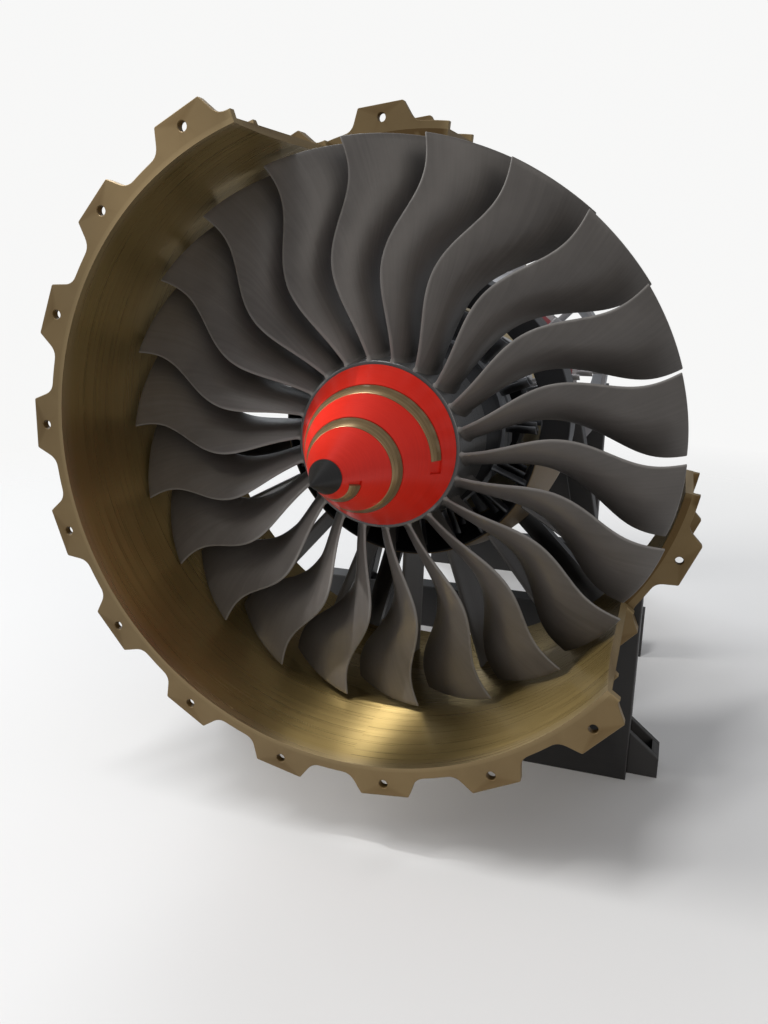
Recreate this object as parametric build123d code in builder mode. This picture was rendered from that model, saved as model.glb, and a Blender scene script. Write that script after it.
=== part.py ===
from build123d import *
import os
from math import cos, pi, radians, sin, sqrt

# Cutaway turbofan display model on its stand, in millimetres.
# The engine axis runs along +Y at axis_height, the intake faces -Y and +Z is up.
# The origin lies on the table, under the axis, in the middle of the front stand frame.
# A station is a distance along the axis, measured back from the front flange.
# An azimuth is in degrees, clockwise from the top as the intake is seen from the front.

# Placement
axis_height = 146.0
front_frame_station = 93.3

# Clearances
seat_gap = 0.05
running_gap = 0.4
blade_tip_gap = 0.8
cradle_gap = 0.1
root_overlap = 1.0

# Whole circle, in degrees
full_turn = 360.0

# Fan cases
case_bore_r = 107.9
intake_lip_r = 109.3
intake_taper = 25.0
case_wall = 3.0
case_split_station = 76.5
case_end_station = 116.0
front_cut_from = -18.5
front_cut_to = 126.2
rear_cut_from = 6.0
rear_cut_to = 99.7

# Lugged flanges
flange_thickness = 3.0
flange_rim_r = 113.5
lug_count = 18
lug_azimuth = -7.07
lug_height = 7.1
lug_root_width = 25.0
lug_top_width = 18.0
lug_hole_inset = 4.6
lug_hole_d = 3.2
rib_station = 14.0
rib_thickness = 2.5
rib_height = 1.6

# Fan
fan_tip_r = 105.1
fan_blade_count = 22
fan_blade_azimuth = -41.4
fan_hub_front_station = 33.0
fan_hub_rear_station = 60.0
fan_hub_front_r = 30.5
fan_hub_rear_r = 34.0
blade_root_r = 28.0
blade_overshoot = 2.0
blade_sections = 6
blade_edge = 0.9
blade_root_thickness = 3.0
blade_tip_thickness = 1.8
blade_root_camber = 0.13
blade_tip_camber = 0.04
camber_position = 0.45

# Leading edge of a fan blade: station, then azimuth in degrees, as smooth waves over the span
edge_station_root = 33.9
edge_station_tip = 38.3
edge_station_belly = -3.6
edge_station_bend = -1.9
edge_station_ripple = 0.6
edge_azimuth_root = 1.5
edge_azimuth_belly = -5.3
edge_azimuth_bend = -2.6
edge_azimuth_ripple = 1.0

# Chord of a fan blade: length along the axis, then wrap round it in degrees
chord_axial_root = 20.0
chord_axial_tip = 17.0
chord_axial_dip = -2.5
chord_wrap_root = 6.5
chord_wrap_gain = 9.5

# Spinner
spinner_apex_station = -26.5
spinner_tip_station = -17.0
spinner_base_r = 29.4
stripe_start_azimuth = 104.0
stripe_start_station = -9.9
stripe_pitch = 17.0
stripe_turns = 1.97
stripe_width = 4.8
stripe_depth = 0.8
stripe_gap = 0.12
stripe_sections_per_turn = 9

# Shafts and bearings
inner_shaft_r = 5.0
inner_shaft_front_station = 40.0
inner_shaft_rear_station = 295.0
outer_shaft_r = 8.0
outer_shaft_front_station = 111.0
outer_shaft_rear_station = 242.0
bearing_wall = 4.0
front_bearing_station = 84.0
front_bearing_length = 10.0
middle_bearing_station = 112.0
middle_bearing_length = 6.0
rear_bearing_station = 286.0
rear_bearing_length = 8.0

# Blades, vanes and walls of the core
core_chord = 6.0
core_blade_thickness = 1.2
core_stagger = 35.0
platform_rise = 0.4
core_wall = 2.5
core_flange_height = 5.0
core_flange_thickness = 2.5

# Booster
splitter_station = 69.6
splitter_r = 52.4
booster_rear_station = 100.0
booster_skin_rear_r = 60.0
booster_duct_front_r = 51.4
booster_duct_rear_r = 48.0
booster_drum_front_r = 33.0
booster_drum_r = 36.0
booster_drum_rear_station = 97.0
inlet_vane_count = 24
inlet_vane_station = 74.0
booster_blade_count = 16
booster_row_stations = (82.0, 92.0)

# Fan frame and bypass guide vanes
frame_rear_station = 118.0
frame_strut_count = 4
frame_strut_azimuth = 135.5
frame_strut_chord = 9.5
frame_strut_thickness = 8.0
frame_strut_nose = 2.5
frame_hub_r = 17.0
frame_spoke_count = 6
frame_spoke_thickness = 4.0
guide_vane_count = 13
guide_vane_azimuth = 121.9
guide_vane_pitch = 20.0
guide_vane_station = 87.0
guide_vane_chord = 19.2
guide_vane_thickness = 1.6
guide_vane_stagger = -12.0

# Core casings
compressor_front_r = 47.0
compressor_rear_station = 188.0
compressor_rear_r = 35.0
combustor_bulge_r = 43.0
combustor_rear_station = 226.0
combustor_rear_r = 41.0
liner_front_station = 194.0
liner_outer_r = 33.0
liner_inner_r = 18.0
liner_wall = 1.5
turbine_rear_station = 284.0
turbine_rear_r = 56.0

# Rotors of the core
compressor_drum_front_station = 122.0
compressor_drum_front_r = 37.0
compressor_drum_rear_station = 184.0
compressor_drum_rear_r = 30.0
compressor_row_stations = (129.0, 148.0, 167.0)
compressor_blade_count = 14
front_turbine_front_station = 230.0
front_turbine_rear_station = 240.0
front_turbine_r = 33.0
rear_turbine_front_station = 246.0
rear_turbine_rear_station = 280.0
rear_turbine_front_r = 35.0
rear_turbine_rear_r = 42.0
rear_turbine_row_stations = (252.0, 272.0)
turbine_blade_count = 16

# Exhaust
exhaust_frame_rear_station = 297.0
exhaust_hub_r = 28.0
exhaust_strut_count = 6
exhaust_strut_chord = 9.0
exhaust_strut_thickness = 3.0
nozzle_rear_station = 328.0
nozzle_rear_r = 49.0
nozzle_wall = 2.0
plug_rear_station = 341.0
plug_rear_r = 5.0

# Stand
saddle_depth = 27.2
stand_half_width = 95.0
stand_post_width = 12.0
stand_band = 12.0
beam_height = 25.5
foot_reach = 12.5
foot_depth = 15.0
foot_height = 19.5
foot_toe_height = 9.0
foot_rib = 3.0
foot_sole = 3.0
core_frame_depth = 12.0
middle_frame_station = 210.0
leg_foot_offset = 70.0
leg_width = 12.0
leg_top_drop = 12.0
core_band = 7.0
rear_frame_station = 321.0
rear_plate_half_width = 57.5
rear_window_half_width = 42.0
rear_window_height = 26.5


lug_top_r = flange_rim_r + lug_height
lug_circle_r = lug_top_r - lug_hole_inset


def at_station(station):
    return station - front_frame_station


engine_axis = Axis((0, 0, axis_height), (0, 1, 0))


def profile_plane(azimuth=0):
    """Half plane through the axis: x is the station, y is the radius."""
    a = radians(azimuth)
    return Plane(
        origin=(0, at_station(0), axis_height),
        x_dir=(0, 1, 0),
        z_dir=(cos(a), 0, -sin(a)),
    )


def cross_plane(station):
    """Plane across the axis, seen from the front: x to the right, y up, extruding to the front."""
    return Plane(origin=(0, at_station(station), axis_height), x_dir=(1, 0, 0), z_dir=(0, -1, 0))


def radial_plane(azimuth, radius):
    """Plane that faces outward at a radius: x runs clockwise, y is the station."""
    a = radians(azimuth)
    return Plane(
        origin=(radius * sin(a), at_station(0), axis_height + radius * cos(a)),
        x_dir=(cos(a), 0, -sin(a)),
        z_dir=(sin(a), 0, cos(a)),
    )


def turned(*outline, mode=Mode.ADD):
    """Turn a closed outline of (station, radius) points about the engine axis."""
    with BuildSketch(profile_plane()) as profile:
        with BuildLine():
            Polyline(*outline, close=True)
        make_face()
    revolve(profile.sketch, axis=engine_axis, mode=mode)


def open_sector(azimuth_from, azimuth_to):
    """Cut away everything between two azimuths, over the engine's whole length."""
    reach = 2 * lug_top_r
    middle = radians((azimuth_from + azimuth_to) / 2)
    start, end = radians(azimuth_from), radians(azimuth_to)
    with BuildSketch(cross_plane(nozzle_rear_station)) as sector:
        with BuildLine():
            Polyline(
                (0, 0),
                (reach * sin(start), reach * cos(start)),
                (reach * sin(middle), reach * cos(middle)),
                (reach * sin(end), reach * cos(end)),
                close=True,
            )
        make_face()
    extrude(sector.sketch, amount=nozzle_rear_station - spinner_apex_station, mode=Mode.SUBTRACT)


def lugged_flange(front_station):
    """Flange ring with trapezoid lugs and their screw holes, one flange thickness deep."""
    first = 90 - lug_azimuth
    with BuildSketch(cross_plane(front_station)) as flange:
        Circle(flange_rim_r)
        with PolarLocations(0, lug_count, start_angle=first):
            Polygon(
                (flange_rim_r - case_wall, -lug_root_width / 2),
                (lug_top_r, -lug_top_width / 2),
                (lug_top_r, lug_top_width / 2),
                (flange_rim_r - case_wall, lug_root_width / 2),
                align=None,
            )
        Circle(case_bore_r + case_wall / 2, mode=Mode.SUBTRACT)
        with PolarLocations(lug_circle_r, lug_count, start_angle=first):
            Circle(lug_hole_d / 2, mode=Mode.SUBTRACT)
    extrude(flange.sketch, amount=-flange_thickness)


def blade_plane(azimuth, station, stagger, thickness):
    """Plane on one side of a blade: x runs back along its chord, y is the radius."""
    a, turn = radians(azimuth), radians(stagger)
    chord = Vector(cos(a) * sin(turn), cos(turn), -sin(a) * sin(turn))
    across = chord.cross(Vector(sin(a), 0, cos(a)))
    origin = Vector(0, at_station(station), axis_height) - across * (thickness / 2)
    return Plane(origin=origin, x_dir=chord, z_dir=across)


def blade_row(station, azimuths, chord, thickness, stagger, root, tip):
    """Ring of flat blades; root and tip are the radii at the leading and the trailing edge."""
    blades = []
    for azimuth in azimuths:
        with BuildSketch(blade_plane(azimuth, station, stagger, thickness)) as blade:
            with BuildLine():
                Polyline(
                    (-chord / 2, root[0]),
                    (-chord / 2, tip[0]),
                    (chord / 2, tip[1]),
                    (chord / 2, root[1]),
                    close=True,
                )
            make_face()
        blades.append(blade.sketch.face())
    extrude(blades, amount=thickness)


def stepped(count, first, pitch):
    """Azimuths from the first one on, in equal steps."""
    return [first + k * pitch for k in range(count)]


def evenly(count):
    """Azimuths in the middle of equal steps round the whole circle."""
    return stepped(count, full_turn / count / 2, full_turn / count)


def duct_r(station, front, front_r, rear, rear_r):
    """Radius of a straight taper between two stations."""
    return front_r + (rear_r - front_r) * (station - front) / (rear - front)


def finish(piece, name):
    piece.part.label = name
    export_step(piece.part, f"parts/{name}.step")


os.makedirs("parts", exist_ok=True)

# Front fan case: tapered intake, plain bore, stiffening rib and a lugged flange at each end
with BuildPart() as front_fan_case:
    turned(
        (0, intake_lip_r),
        (intake_taper, case_bore_r),
        (case_split_station, case_bore_r),
        (case_split_station, case_bore_r + case_wall),
        (0, case_bore_r + case_wall),
    )
    turned(
        (rib_station, case_bore_r + case_wall / 2),
        (rib_station + rib_thickness, case_bore_r + case_wall / 2),
        (rib_station + rib_thickness, case_bore_r + case_wall + rib_height),
        (rib_station, case_bore_r + case_wall + rib_height),
    )
    lugged_flange(0)
    lugged_flange(case_split_station - flange_thickness)
    open_sector(front_cut_from, front_cut_to)
finish(front_fan_case, "front_fan_case")

# Rear fan case: plain bore between two lugged flanges
with BuildPart() as rear_fan_case:
    turned(
        (case_split_station + seat_gap, case_bore_r),
        (case_end_station, case_bore_r),
        (case_end_station, case_bore_r + case_wall),
        (case_split_station + seat_gap, case_bore_r + case_wall),
    )
    lugged_flange(case_split_station + seat_gap)
    lugged_flange(case_end_station - flange_thickness)
    open_sector(rear_cut_from, rear_cut_to)
finish(rear_fan_case, "rear_fan_case")


def wave(t, root, tip, belly, bend, ripple):
    """Smooth curve over the span t from 0 to 1: a straight line and three half waves."""
    line = root + (tip - root) * t
    return line + belly * sin(pi * t) + bend * sin(2 * pi * t) + ripple * sin(3 * pi * t)


def blade_section(t):
    """Cambered section of the fan blade at span t, on the plane that faces outward there."""
    radius = fan_hub_front_r + (fan_tip_r - fan_hub_front_r) * t
    edge_station = wave(
        t, edge_station_root, edge_station_tip, edge_station_belly, edge_station_bend, edge_station_ripple
    )
    edge_azimuth = wave(
        t, edge_azimuth_root, 0, edge_azimuth_belly, edge_azimuth_bend, edge_azimuth_ripple
    )
    axial = wave(t, chord_axial_root, chord_axial_tip, chord_axial_dip, 0, 0)
    wrap = chord_wrap_root + chord_wrap_gain * sin(pi / 2 * t)
    half_wrap = radians(wrap / 2)
    thickness = blade_root_thickness + (blade_tip_thickness - blade_root_thickness) * t
    front = Vector(-radius * sin(half_wrap), edge_station)
    chord = Vector(2 * radius * sin(half_wrap), axial)
    outward = Vector(chord.Y, -chord.X).normalized()
    rise = (blade_root_camber + (blade_tip_camber - blade_root_camber) * t) * chord.length
    middle = front + chord * camber_position
    plane = radial_plane(fan_blade_azimuth + edge_azimuth + wrap / 2, radius * cos(half_wrap))
    with BuildSketch(plane) as section:
        with BuildLine():
            back = Spline(
                front + outward * (blade_edge / 2), middle + outward * (rise + thickness / 2), front + chord
            )
            face = Spline(
                front - outward * (blade_edge / 2), middle + outward * (rise - thickness / 2), front + chord
            )
            Line(back @ 0, face @ 0)
        make_face()
    return section.sketch


# One swept fan blade, long enough at both ends to be trimmed by the hub and the tip circle
root_t = (blade_root_r - fan_hub_front_r) / (fan_tip_r - fan_hub_front_r)
over_t = (fan_tip_r + blade_overshoot - fan_hub_front_r) / (fan_tip_r - fan_hub_front_r)
with BuildPart() as fan_blade:
    loft(
        [blade_section(root_t + (over_t - root_t) * k / (blade_sections - 1)) for k in range(blade_sections)],
        ruled=True,
    )

# Fan rotor: the blades and their hub, trimmed to the tip circle
with BuildPart() as fan_rotor:
    turned(
        (fan_hub_front_station, inner_shaft_r + seat_gap),
        (fan_hub_front_station, fan_hub_front_r),
        (fan_hub_rear_station, fan_hub_rear_r),
        (fan_hub_rear_station, inner_shaft_r + seat_gap),
    )
    add([fan_blade.part.rotate(engine_axis, k * full_turn / fan_blade_count) for k in range(fan_blade_count)])
    with BuildSketch(cross_plane(case_split_station)):
        Circle(fan_tip_r)
        Circle(inner_shaft_r + seat_gap, mode=Mode.SUBTRACT)
    extrude(amount=case_split_station, mode=Mode.INTERSECT)
finish(fan_rotor, "fan_rotor")

spinner_slope = spinner_base_r / (fan_hub_front_station - spinner_apex_station)
spinner_tip_r = spinner_slope * (spinner_tip_station - spinner_apex_station)


def stripe_section(turn, gap, lift):
    """Cross-section of the spiral stripe, sunk into the spinner's cone, with a gap round it."""
    start = stripe_start_station + stripe_pitch * turn - stripe_width / 2 - gap
    end = start + stripe_width + 2 * gap
    start_r = spinner_slope * (start - spinner_apex_station)
    end_r = spinner_slope * (end - spinner_apex_station)
    with BuildSketch(profile_plane(stripe_start_azimuth + full_turn * turn)) as section:
        with BuildLine():
            Polyline(
                (start, start_r - stripe_depth - gap),
                (start, start_r + lift),
                (end, end_r + lift),
                (end, end_r - stripe_depth - gap),
                close=True,
            )
        make_face()
    return section.sketch


stripe_sections = round(stripe_turns * stripe_sections_per_turn)
stripe_steps = [stripe_turns * k / stripe_sections for k in range(stripe_sections + 1)]

# Spiral stripe round the spinner
with BuildPart() as spinner_stripe:
    loft([stripe_section(turn, 0, 0) for turn in stripe_steps])
finish(spinner_stripe, "spinner_stripe")

# Room for the stripe, a little larger than the stripe itself
with BuildPart() as stripe_groove:
    loft([stripe_section(turn, stripe_gap, stripe_depth) for turn in stripe_steps])

# Spinner: cone with a spiral groove that the stripe fills
with BuildPart() as spinner:
    turned(
        (spinner_tip_station + seat_gap, 0),
        (spinner_tip_station + seat_gap, spinner_tip_r),
        (fan_hub_front_station - seat_gap, spinner_base_r),
        (fan_hub_front_station - seat_gap, 0),
    )
    add(stripe_groove.part, mode=Mode.SUBTRACT)
finish(spinner, "spinner")

# Black tip of the spinner
with BuildPart() as spinner_tip:
    turned((spinner_apex_station, 0), (spinner_tip_station, spinner_tip_r), (spinner_tip_station, 0))
finish(spinner_tip, "spinner_tip")

# Low-pressure shaft from the fan hub to the rear bearing
with BuildPart() as inner_shaft:
    turned(
        (inner_shaft_front_station, 0),
        (inner_shaft_front_station, inner_shaft_r),
        (inner_shaft_rear_station, inner_shaft_r),
        (inner_shaft_rear_station, 0),
    )
finish(inner_shaft, "inner_shaft")

# High-pressure shaft: a tube round the low-pressure shaft
with BuildPart() as outer_shaft:
    turned(
        (outer_shaft_front_station, inner_shaft_r + running_gap),
        (outer_shaft_front_station, outer_shaft_r),
        (outer_shaft_rear_station, outer_shaft_r),
        (outer_shaft_rear_station, inner_shaft_r + running_gap),
    )
finish(outer_shaft, "outer_shaft")

front_housing_r = inner_shaft_r + running_gap + bearing_wall
middle_housing_r = outer_shaft_r + running_gap + bearing_wall / 2
rear_housing_r = inner_shaft_r + running_gap + bearing_wall


def bearing(name, front_station, length, shaft_r, housing_r):
    """Bearing ring between a turning shaft and its housing."""
    with BuildPart() as ring:
        turned(
            (front_station, shaft_r + running_gap),
            (front_station, housing_r - seat_gap),
            (front_station + length, housing_r - seat_gap),
            (front_station + length, shaft_r + running_gap),
        )
    finish(ring, name)


bearing("front_bearing", front_bearing_station, front_bearing_length, inner_shaft_r, front_housing_r)
bearing("middle_bearing", middle_bearing_station, middle_bearing_length, outer_shaft_r, middle_housing_r)
bearing("rear_bearing", rear_bearing_station, rear_bearing_length, inner_shaft_r, rear_housing_r)


def booster_duct_r(station):
    return duct_r(
        station, splitter_station, booster_duct_front_r, booster_rear_station, booster_duct_rear_r
    )


def booster_skin_r(station):
    return duct_r(station, splitter_station, splitter_r, booster_rear_station, booster_skin_rear_r)


# Booster case: sharp splitter lip, tapered duct wall and the inlet vanes
with BuildPart() as booster_case:
    turned(
        (splitter_station, booster_duct_front_r),
        (splitter_station, splitter_r),
        (booster_rear_station, booster_skin_rear_r),
        (booster_rear_station, booster_duct_rear_r),
    )
    vane_tip_r = booster_duct_r(inlet_vane_station) + core_blade_thickness
    blade_row(
        inlet_vane_station,
        evenly(inlet_vane_count),
        core_chord,
        core_blade_thickness,
        0,
        (booster_drum_r + blade_tip_gap, booster_drum_r + blade_tip_gap),
        (vane_tip_r, vane_tip_r),
    )
    open_sector(rear_cut_from, rear_cut_to)
finish(booster_case, "booster_case")


def rotor_rows(stations, count, root_at, duct_at):
    """Rows of blades on flat platforms, as long as the duct wall allows."""
    for station in stations:
        edges = (station - core_chord / 2, station + core_chord / 2)
        flat_r = max(root_at(edge) for edge in edges) / cos(pi / count) + platform_rise
        tip_r = min(duct_at(edge) for edge in edges) - blade_tip_gap
        with BuildSketch(cross_plane(edges[1])) as platform:
            RegularPolygon(flat_r, count, major_radius=False, rotation=90)
            Circle(flat_r - core_wall, mode=Mode.SUBTRACT)
        extrude(platform.sketch, amount=core_chord)
        blade_row(
            station,
            stepped(count, 0, full_turn / count),
            core_chord,
            core_blade_thickness,
            core_stagger,
            (flat_r - root_overlap, flat_r - root_overlap),
            (tip_r, tip_r),
        )


# Booster rotor: drum bolted to the back of the fan hub, with two rows of blades
with BuildPart() as booster_rotor:
    turned(
        (fan_hub_rear_station + seat_gap, booster_drum_front_r - core_wall),
        (fan_hub_rear_station + seat_gap, booster_drum_front_r),
        (inlet_vane_station, booster_drum_r),
        (booster_drum_rear_station, booster_drum_r),
        (booster_drum_rear_station, booster_drum_r - core_wall),
        (inlet_vane_station, booster_drum_r - core_wall),
    )
    rotor_rows(booster_row_stations, booster_blade_count, lambda station: booster_drum_r, booster_duct_r)
finish(booster_rotor, "booster_rotor")

# Fan frame: ring with broad outer struts, inner spokes and the bearing hub
with BuildPart() as fan_frame:
    turned(
        (booster_rear_station + seat_gap, booster_duct_rear_r),
        (booster_rear_station + seat_gap, booster_skin_rear_r),
        (frame_rear_station, booster_skin_rear_r),
        (frame_rear_station, booster_duct_rear_r),
    )
    turned(
        (front_bearing_station, front_housing_r),
        (front_bearing_station, front_housing_r + core_wall),
        (booster_rear_station, frame_hub_r),
        (frame_rear_station, frame_hub_r),
        (frame_rear_station, middle_housing_r),
        (middle_bearing_station, middle_housing_r),
        (middle_bearing_station, front_housing_r),
    )
    strut_root_r = booster_skin_rear_r - root_overlap
    strut_tip_r = sqrt((case_bore_r - seat_gap) ** 2 - (frame_strut_thickness / 2) ** 2)
    outer_struts = []
    for azimuth in stepped(frame_strut_count, frame_strut_azimuth, 3 * guide_vane_pitch):
        with BuildSketch(radial_plane(azimuth, strut_root_r)) as strut:
            with Locations((0, case_end_station - frame_strut_chord / 2)):
                Rectangle(frame_strut_thickness, frame_strut_chord)
            chamfer(strut.vertices(), frame_strut_nose)
        outer_struts.append(strut.sketch.face())
    extrude(outer_struts, amount=strut_tip_r - strut_root_r)
    blade_row(
        (booster_rear_station + frame_rear_station) / 2,
        evenly(frame_spoke_count),
        frame_strut_chord,
        frame_spoke_thickness,
        0,
        (frame_hub_r - root_overlap, frame_hub_r - root_overlap),
        (booster_duct_rear_r + root_overlap, booster_duct_rear_r + root_overlap),
    )
finish(fan_frame, "fan_frame")

# Bypass guide vanes: thin vanes between the booster case and the rear fan case
with BuildPart() as guide_vanes:
    vane_reach = guide_vane_chord / 2 * cos(radians(guide_vane_stagger))
    vane_swing = guide_vane_chord / 2 * abs(sin(radians(guide_vane_stagger))) + guide_vane_thickness / 2
    vane_tip_r = sqrt((case_bore_r - seat_gap) ** 2 - vane_swing**2)
    blade_row(
        guide_vane_station,
        stepped(guide_vane_count, guide_vane_azimuth, guide_vane_pitch),
        guide_vane_chord,
        guide_vane_thickness,
        guide_vane_stagger,
        [booster_skin_r(guide_vane_station + side * vane_reach) + seat_gap for side in (-1, 1)],
        (vane_tip_r, vane_tip_r),
    )
finish(guide_vanes, "guide_vanes")


def core_casing(name, stations, radii, front_flange):
    """Duct wall through the given stations, with a flange at the back and perhaps one at the front."""
    with BuildPart() as casing:
        front = stations[0] + seat_gap
        inner = [(front, radii[0]), *zip(stations[1:], radii[1:])]
        outer = [(station, radius + core_wall) for station, radius in reversed(inner)]
        turned(*inner, *outer)
        ends = [(stations[-1] - core_flange_thickness, radii[-1])]
        if front_flange:
            ends.append((front, radii[0]))
        for station, radius in ends:
            turned(
                (station, radius + core_wall / 2),
                (station + core_flange_thickness, radius + core_wall / 2),
                (station + core_flange_thickness, radius + core_wall + core_flange_height),
                (station, radius + core_wall + core_flange_height),
            )
        open_sector(rear_cut_from, rear_cut_to)
    finish(casing, name)


core_casing(
    "compressor_case",
    (frame_rear_station, compressor_rear_station),
    (compressor_front_r, compressor_rear_r),
    front_flange=True,
)
core_casing(
    "combustor_case",
    (
        compressor_rear_station,
        (compressor_rear_station + combustor_rear_station) / 2,
        combustor_rear_station,
    ),
    (compressor_rear_r, combustor_bulge_r, combustor_rear_r),
    front_flange=False,
)
core_casing(
    "turbine_case",
    (combustor_rear_station, turbine_rear_station),
    (combustor_rear_r, turbine_rear_r),
    front_flange=False,
)

# Combustor liner: ring-shaped flame tube, closed in front, with a rear flange in the casing
with BuildPart() as combustor_liner:
    liner_rear_station = combustor_rear_station - core_flange_thickness
    turned(
        (liner_front_station, liner_inner_r),
        (liner_front_station, liner_outer_r),
        (liner_rear_station, liner_outer_r),
        (liner_rear_station, combustor_rear_r - seat_gap),
        (combustor_rear_station, combustor_rear_r - seat_gap),
        (combustor_rear_station, liner_outer_r - liner_wall),
        (liner_front_station + liner_wall, liner_outer_r - liner_wall),
        (liner_front_station + liner_wall, liner_inner_r + liner_wall),
        (combustor_rear_station, liner_inner_r + liner_wall),
        (combustor_rear_station, liner_inner_r),
    )
finish(combustor_liner, "combustor_liner")


def bladed_rotor(name, front, rear, bore_r, rows, count, duct):
    """Solid rotor between two (station, radius) ends, with rows of blades up to the duct wall."""
    with BuildPart() as rotor:
        turned((front[0], bore_r), front, rear, (rear[0], bore_r))
        rotor_rows(
            rows,
            count,
            lambda station: duct_r(station, *front, *rear),
            lambda station: duct_r(station, *duct),
        )
    finish(rotor, name)


compressor_duct = (frame_rear_station, compressor_front_r, compressor_rear_station, compressor_rear_r)
turbine_duct = (combustor_rear_station, combustor_rear_r, turbine_rear_station, turbine_rear_r)
bladed_rotor(
    "compressor_rotor",
    (compressor_drum_front_station, compressor_drum_front_r),
    (compressor_drum_rear_station, compressor_drum_rear_r),
    outer_shaft_r + seat_gap,
    compressor_row_stations,
    compressor_blade_count,
    compressor_duct,
)
bladed_rotor(
    "front_turbine_rotor",
    (front_turbine_front_station, front_turbine_r),
    (front_turbine_rear_station, front_turbine_r),
    outer_shaft_r + seat_gap,
    ((front_turbine_front_station + front_turbine_rear_station) / 2,),
    turbine_blade_count,
    turbine_duct,
)
bladed_rotor(
    "rear_turbine_rotor",
    (rear_turbine_front_station, rear_turbine_front_r),
    (rear_turbine_rear_station, rear_turbine_rear_r),
    inner_shaft_r + seat_gap,
    rear_turbine_row_stations,
    turbine_blade_count,
    turbine_duct,
)

# Exhaust frame: outer ring, struts and the rear bearing hub
with BuildPart() as exhaust_frame:
    turned(
        (turbine_rear_station + seat_gap, turbine_rear_r),
        (turbine_rear_station + seat_gap, turbine_rear_r + core_wall),
        (exhaust_frame_rear_station, turbine_rear_r + core_wall),
        (exhaust_frame_rear_station, turbine_rear_r),
    )
    turned(
        (turbine_rear_station + seat_gap, rear_housing_r),
        (turbine_rear_station + seat_gap, exhaust_hub_r),
        (exhaust_frame_rear_station, exhaust_hub_r),
        (exhaust_frame_rear_station, rear_housing_r),
    )
    blade_row(
        (turbine_rear_station + exhaust_frame_rear_station) / 2,
        evenly(exhaust_strut_count),
        exhaust_strut_chord,
        exhaust_strut_thickness,
        0,
        (exhaust_hub_r - root_overlap, exhaust_hub_r - root_overlap),
        (turbine_rear_r + root_overlap, turbine_rear_r + root_overlap),
    )
finish(exhaust_frame, "exhaust_frame")

# Core nozzle: tapered ring behind the exhaust frame
with BuildPart() as core_nozzle:
    nozzle_front_station = exhaust_frame_rear_station + seat_gap
    turned(
        (nozzle_front_station, turbine_rear_r + core_wall - nozzle_wall),
        (nozzle_front_station, turbine_rear_r + core_wall),
        (nozzle_rear_station, nozzle_rear_r),
        (nozzle_rear_station, nozzle_rear_r - nozzle_wall),
    )
finish(core_nozzle, "core_nozzle")

# Exhaust plug: closed cone on the exhaust frame's hub
with BuildPart() as exhaust_plug:
    turned(
        (exhaust_frame_rear_station + seat_gap, 0),
        (exhaust_frame_rear_station + seat_gap, exhaust_hub_r),
        (plug_rear_station, plug_rear_r),
        (plug_rear_station, 0),
    )
finish(exhaust_plug, "exhaust_plug")

# Front stand frame: beam, two posts, a deep saddle between the rear case's flanges and ribbed feet
with BuildPart() as stand_front_frame:
    saddle_r = case_bore_r + case_wall + cradle_gap
    post_centre = stand_half_width - stand_post_width / 2
    with BuildSketch(cross_plane(front_frame_station + saddle_depth / 2)):
        with BuildSketch(mode=Mode.PRIVATE) as band:
            Circle(saddle_r + stand_band)
        with Locations((0, beam_height / 2 - axis_height)):
            Rectangle(2 * stand_half_width, beam_height)
        with Locations((-post_centre, -axis_height), (post_centre, -axis_height)):
            Rectangle(stand_post_width, axis_height, align=(Align.CENTER, Align.MIN))
        add(band.sketch)
        Circle(saddle_r, mode=Mode.SUBTRACT)
        with Locations((0, -axis_height)):
            Rectangle(
                2 * stand_half_width, axis_height, align=(Align.CENTER, Align.MIN), mode=Mode.INTERSECT
            )
        with Locations((0, 0)):
            Rectangle(
                2 * stand_half_width,
                sqrt(saddle_r**2 - stand_half_width**2),
                align=(Align.CENTER, Align.MAX),
                mode=Mode.SUBTRACT,
            )
    extrude(amount=saddle_depth)
    for side in (-1, 1):
        with BuildSketch(cross_plane(front_frame_station + foot_depth / 2)):
            with BuildLine():
                Polyline(
                    (side * stand_half_width, -axis_height),
                    (side * (stand_half_width + foot_reach), -axis_height),
                    (side * (stand_half_width + foot_reach), foot_toe_height - axis_height),
                    (side * stand_half_width, foot_height - axis_height),
                    close=True,
                )
            make_face()
        extrude(amount=foot_depth)
    pocket_length = foot_reach - foot_rib
    with Locations(
        *[
            (side * (stand_half_width + pocket_length / 2), at_station(front_frame_station), foot_sole)
            for side in (-1, 1)
        ]
    ):
        Box(
            pocket_length,
            foot_depth - 2 * foot_rib,
            foot_height,
            align=(Align.CENTER, Align.CENTER, Align.MIN),
            mode=Mode.SUBTRACT,
        )
finish(stand_front_frame, "stand_front_frame")

# Middle stand frame: beam and two slanted legs up to a saddle round the combustor casing
with BuildPart() as stand_middle_frame:
    middle_seat_r = combustor_bulge_r + core_wall + cradle_gap
    middle_band_r = middle_seat_r + core_band
    with BuildSketch(cross_plane(middle_frame_station + core_frame_depth / 2)):
        with Locations((0, beam_height / 2 - axis_height)):
            Rectangle(2 * stand_half_width, beam_height)
        for side in (-1, 1):
            with BuildLine():
                Polyline(
                    (side * (leg_foot_offset + leg_width / 2), beam_height - axis_height),
                    (side * middle_band_r, -leg_top_drop),
                    (side * (middle_band_r - leg_width), -leg_top_drop),
                    (side * (leg_foot_offset - leg_width / 2), beam_height - axis_height),
                    close=True,
                )
            make_face()
        Circle(middle_band_r)
        Circle(middle_seat_r, mode=Mode.SUBTRACT)
        with Locations((0, -leg_top_drop)):
            Rectangle(
                2 * middle_band_r, 2 * middle_band_r, align=(Align.CENTER, Align.MIN), mode=Mode.SUBTRACT
            )
    extrude(amount=core_frame_depth)
finish(stand_middle_frame, "stand_middle_frame")

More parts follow.
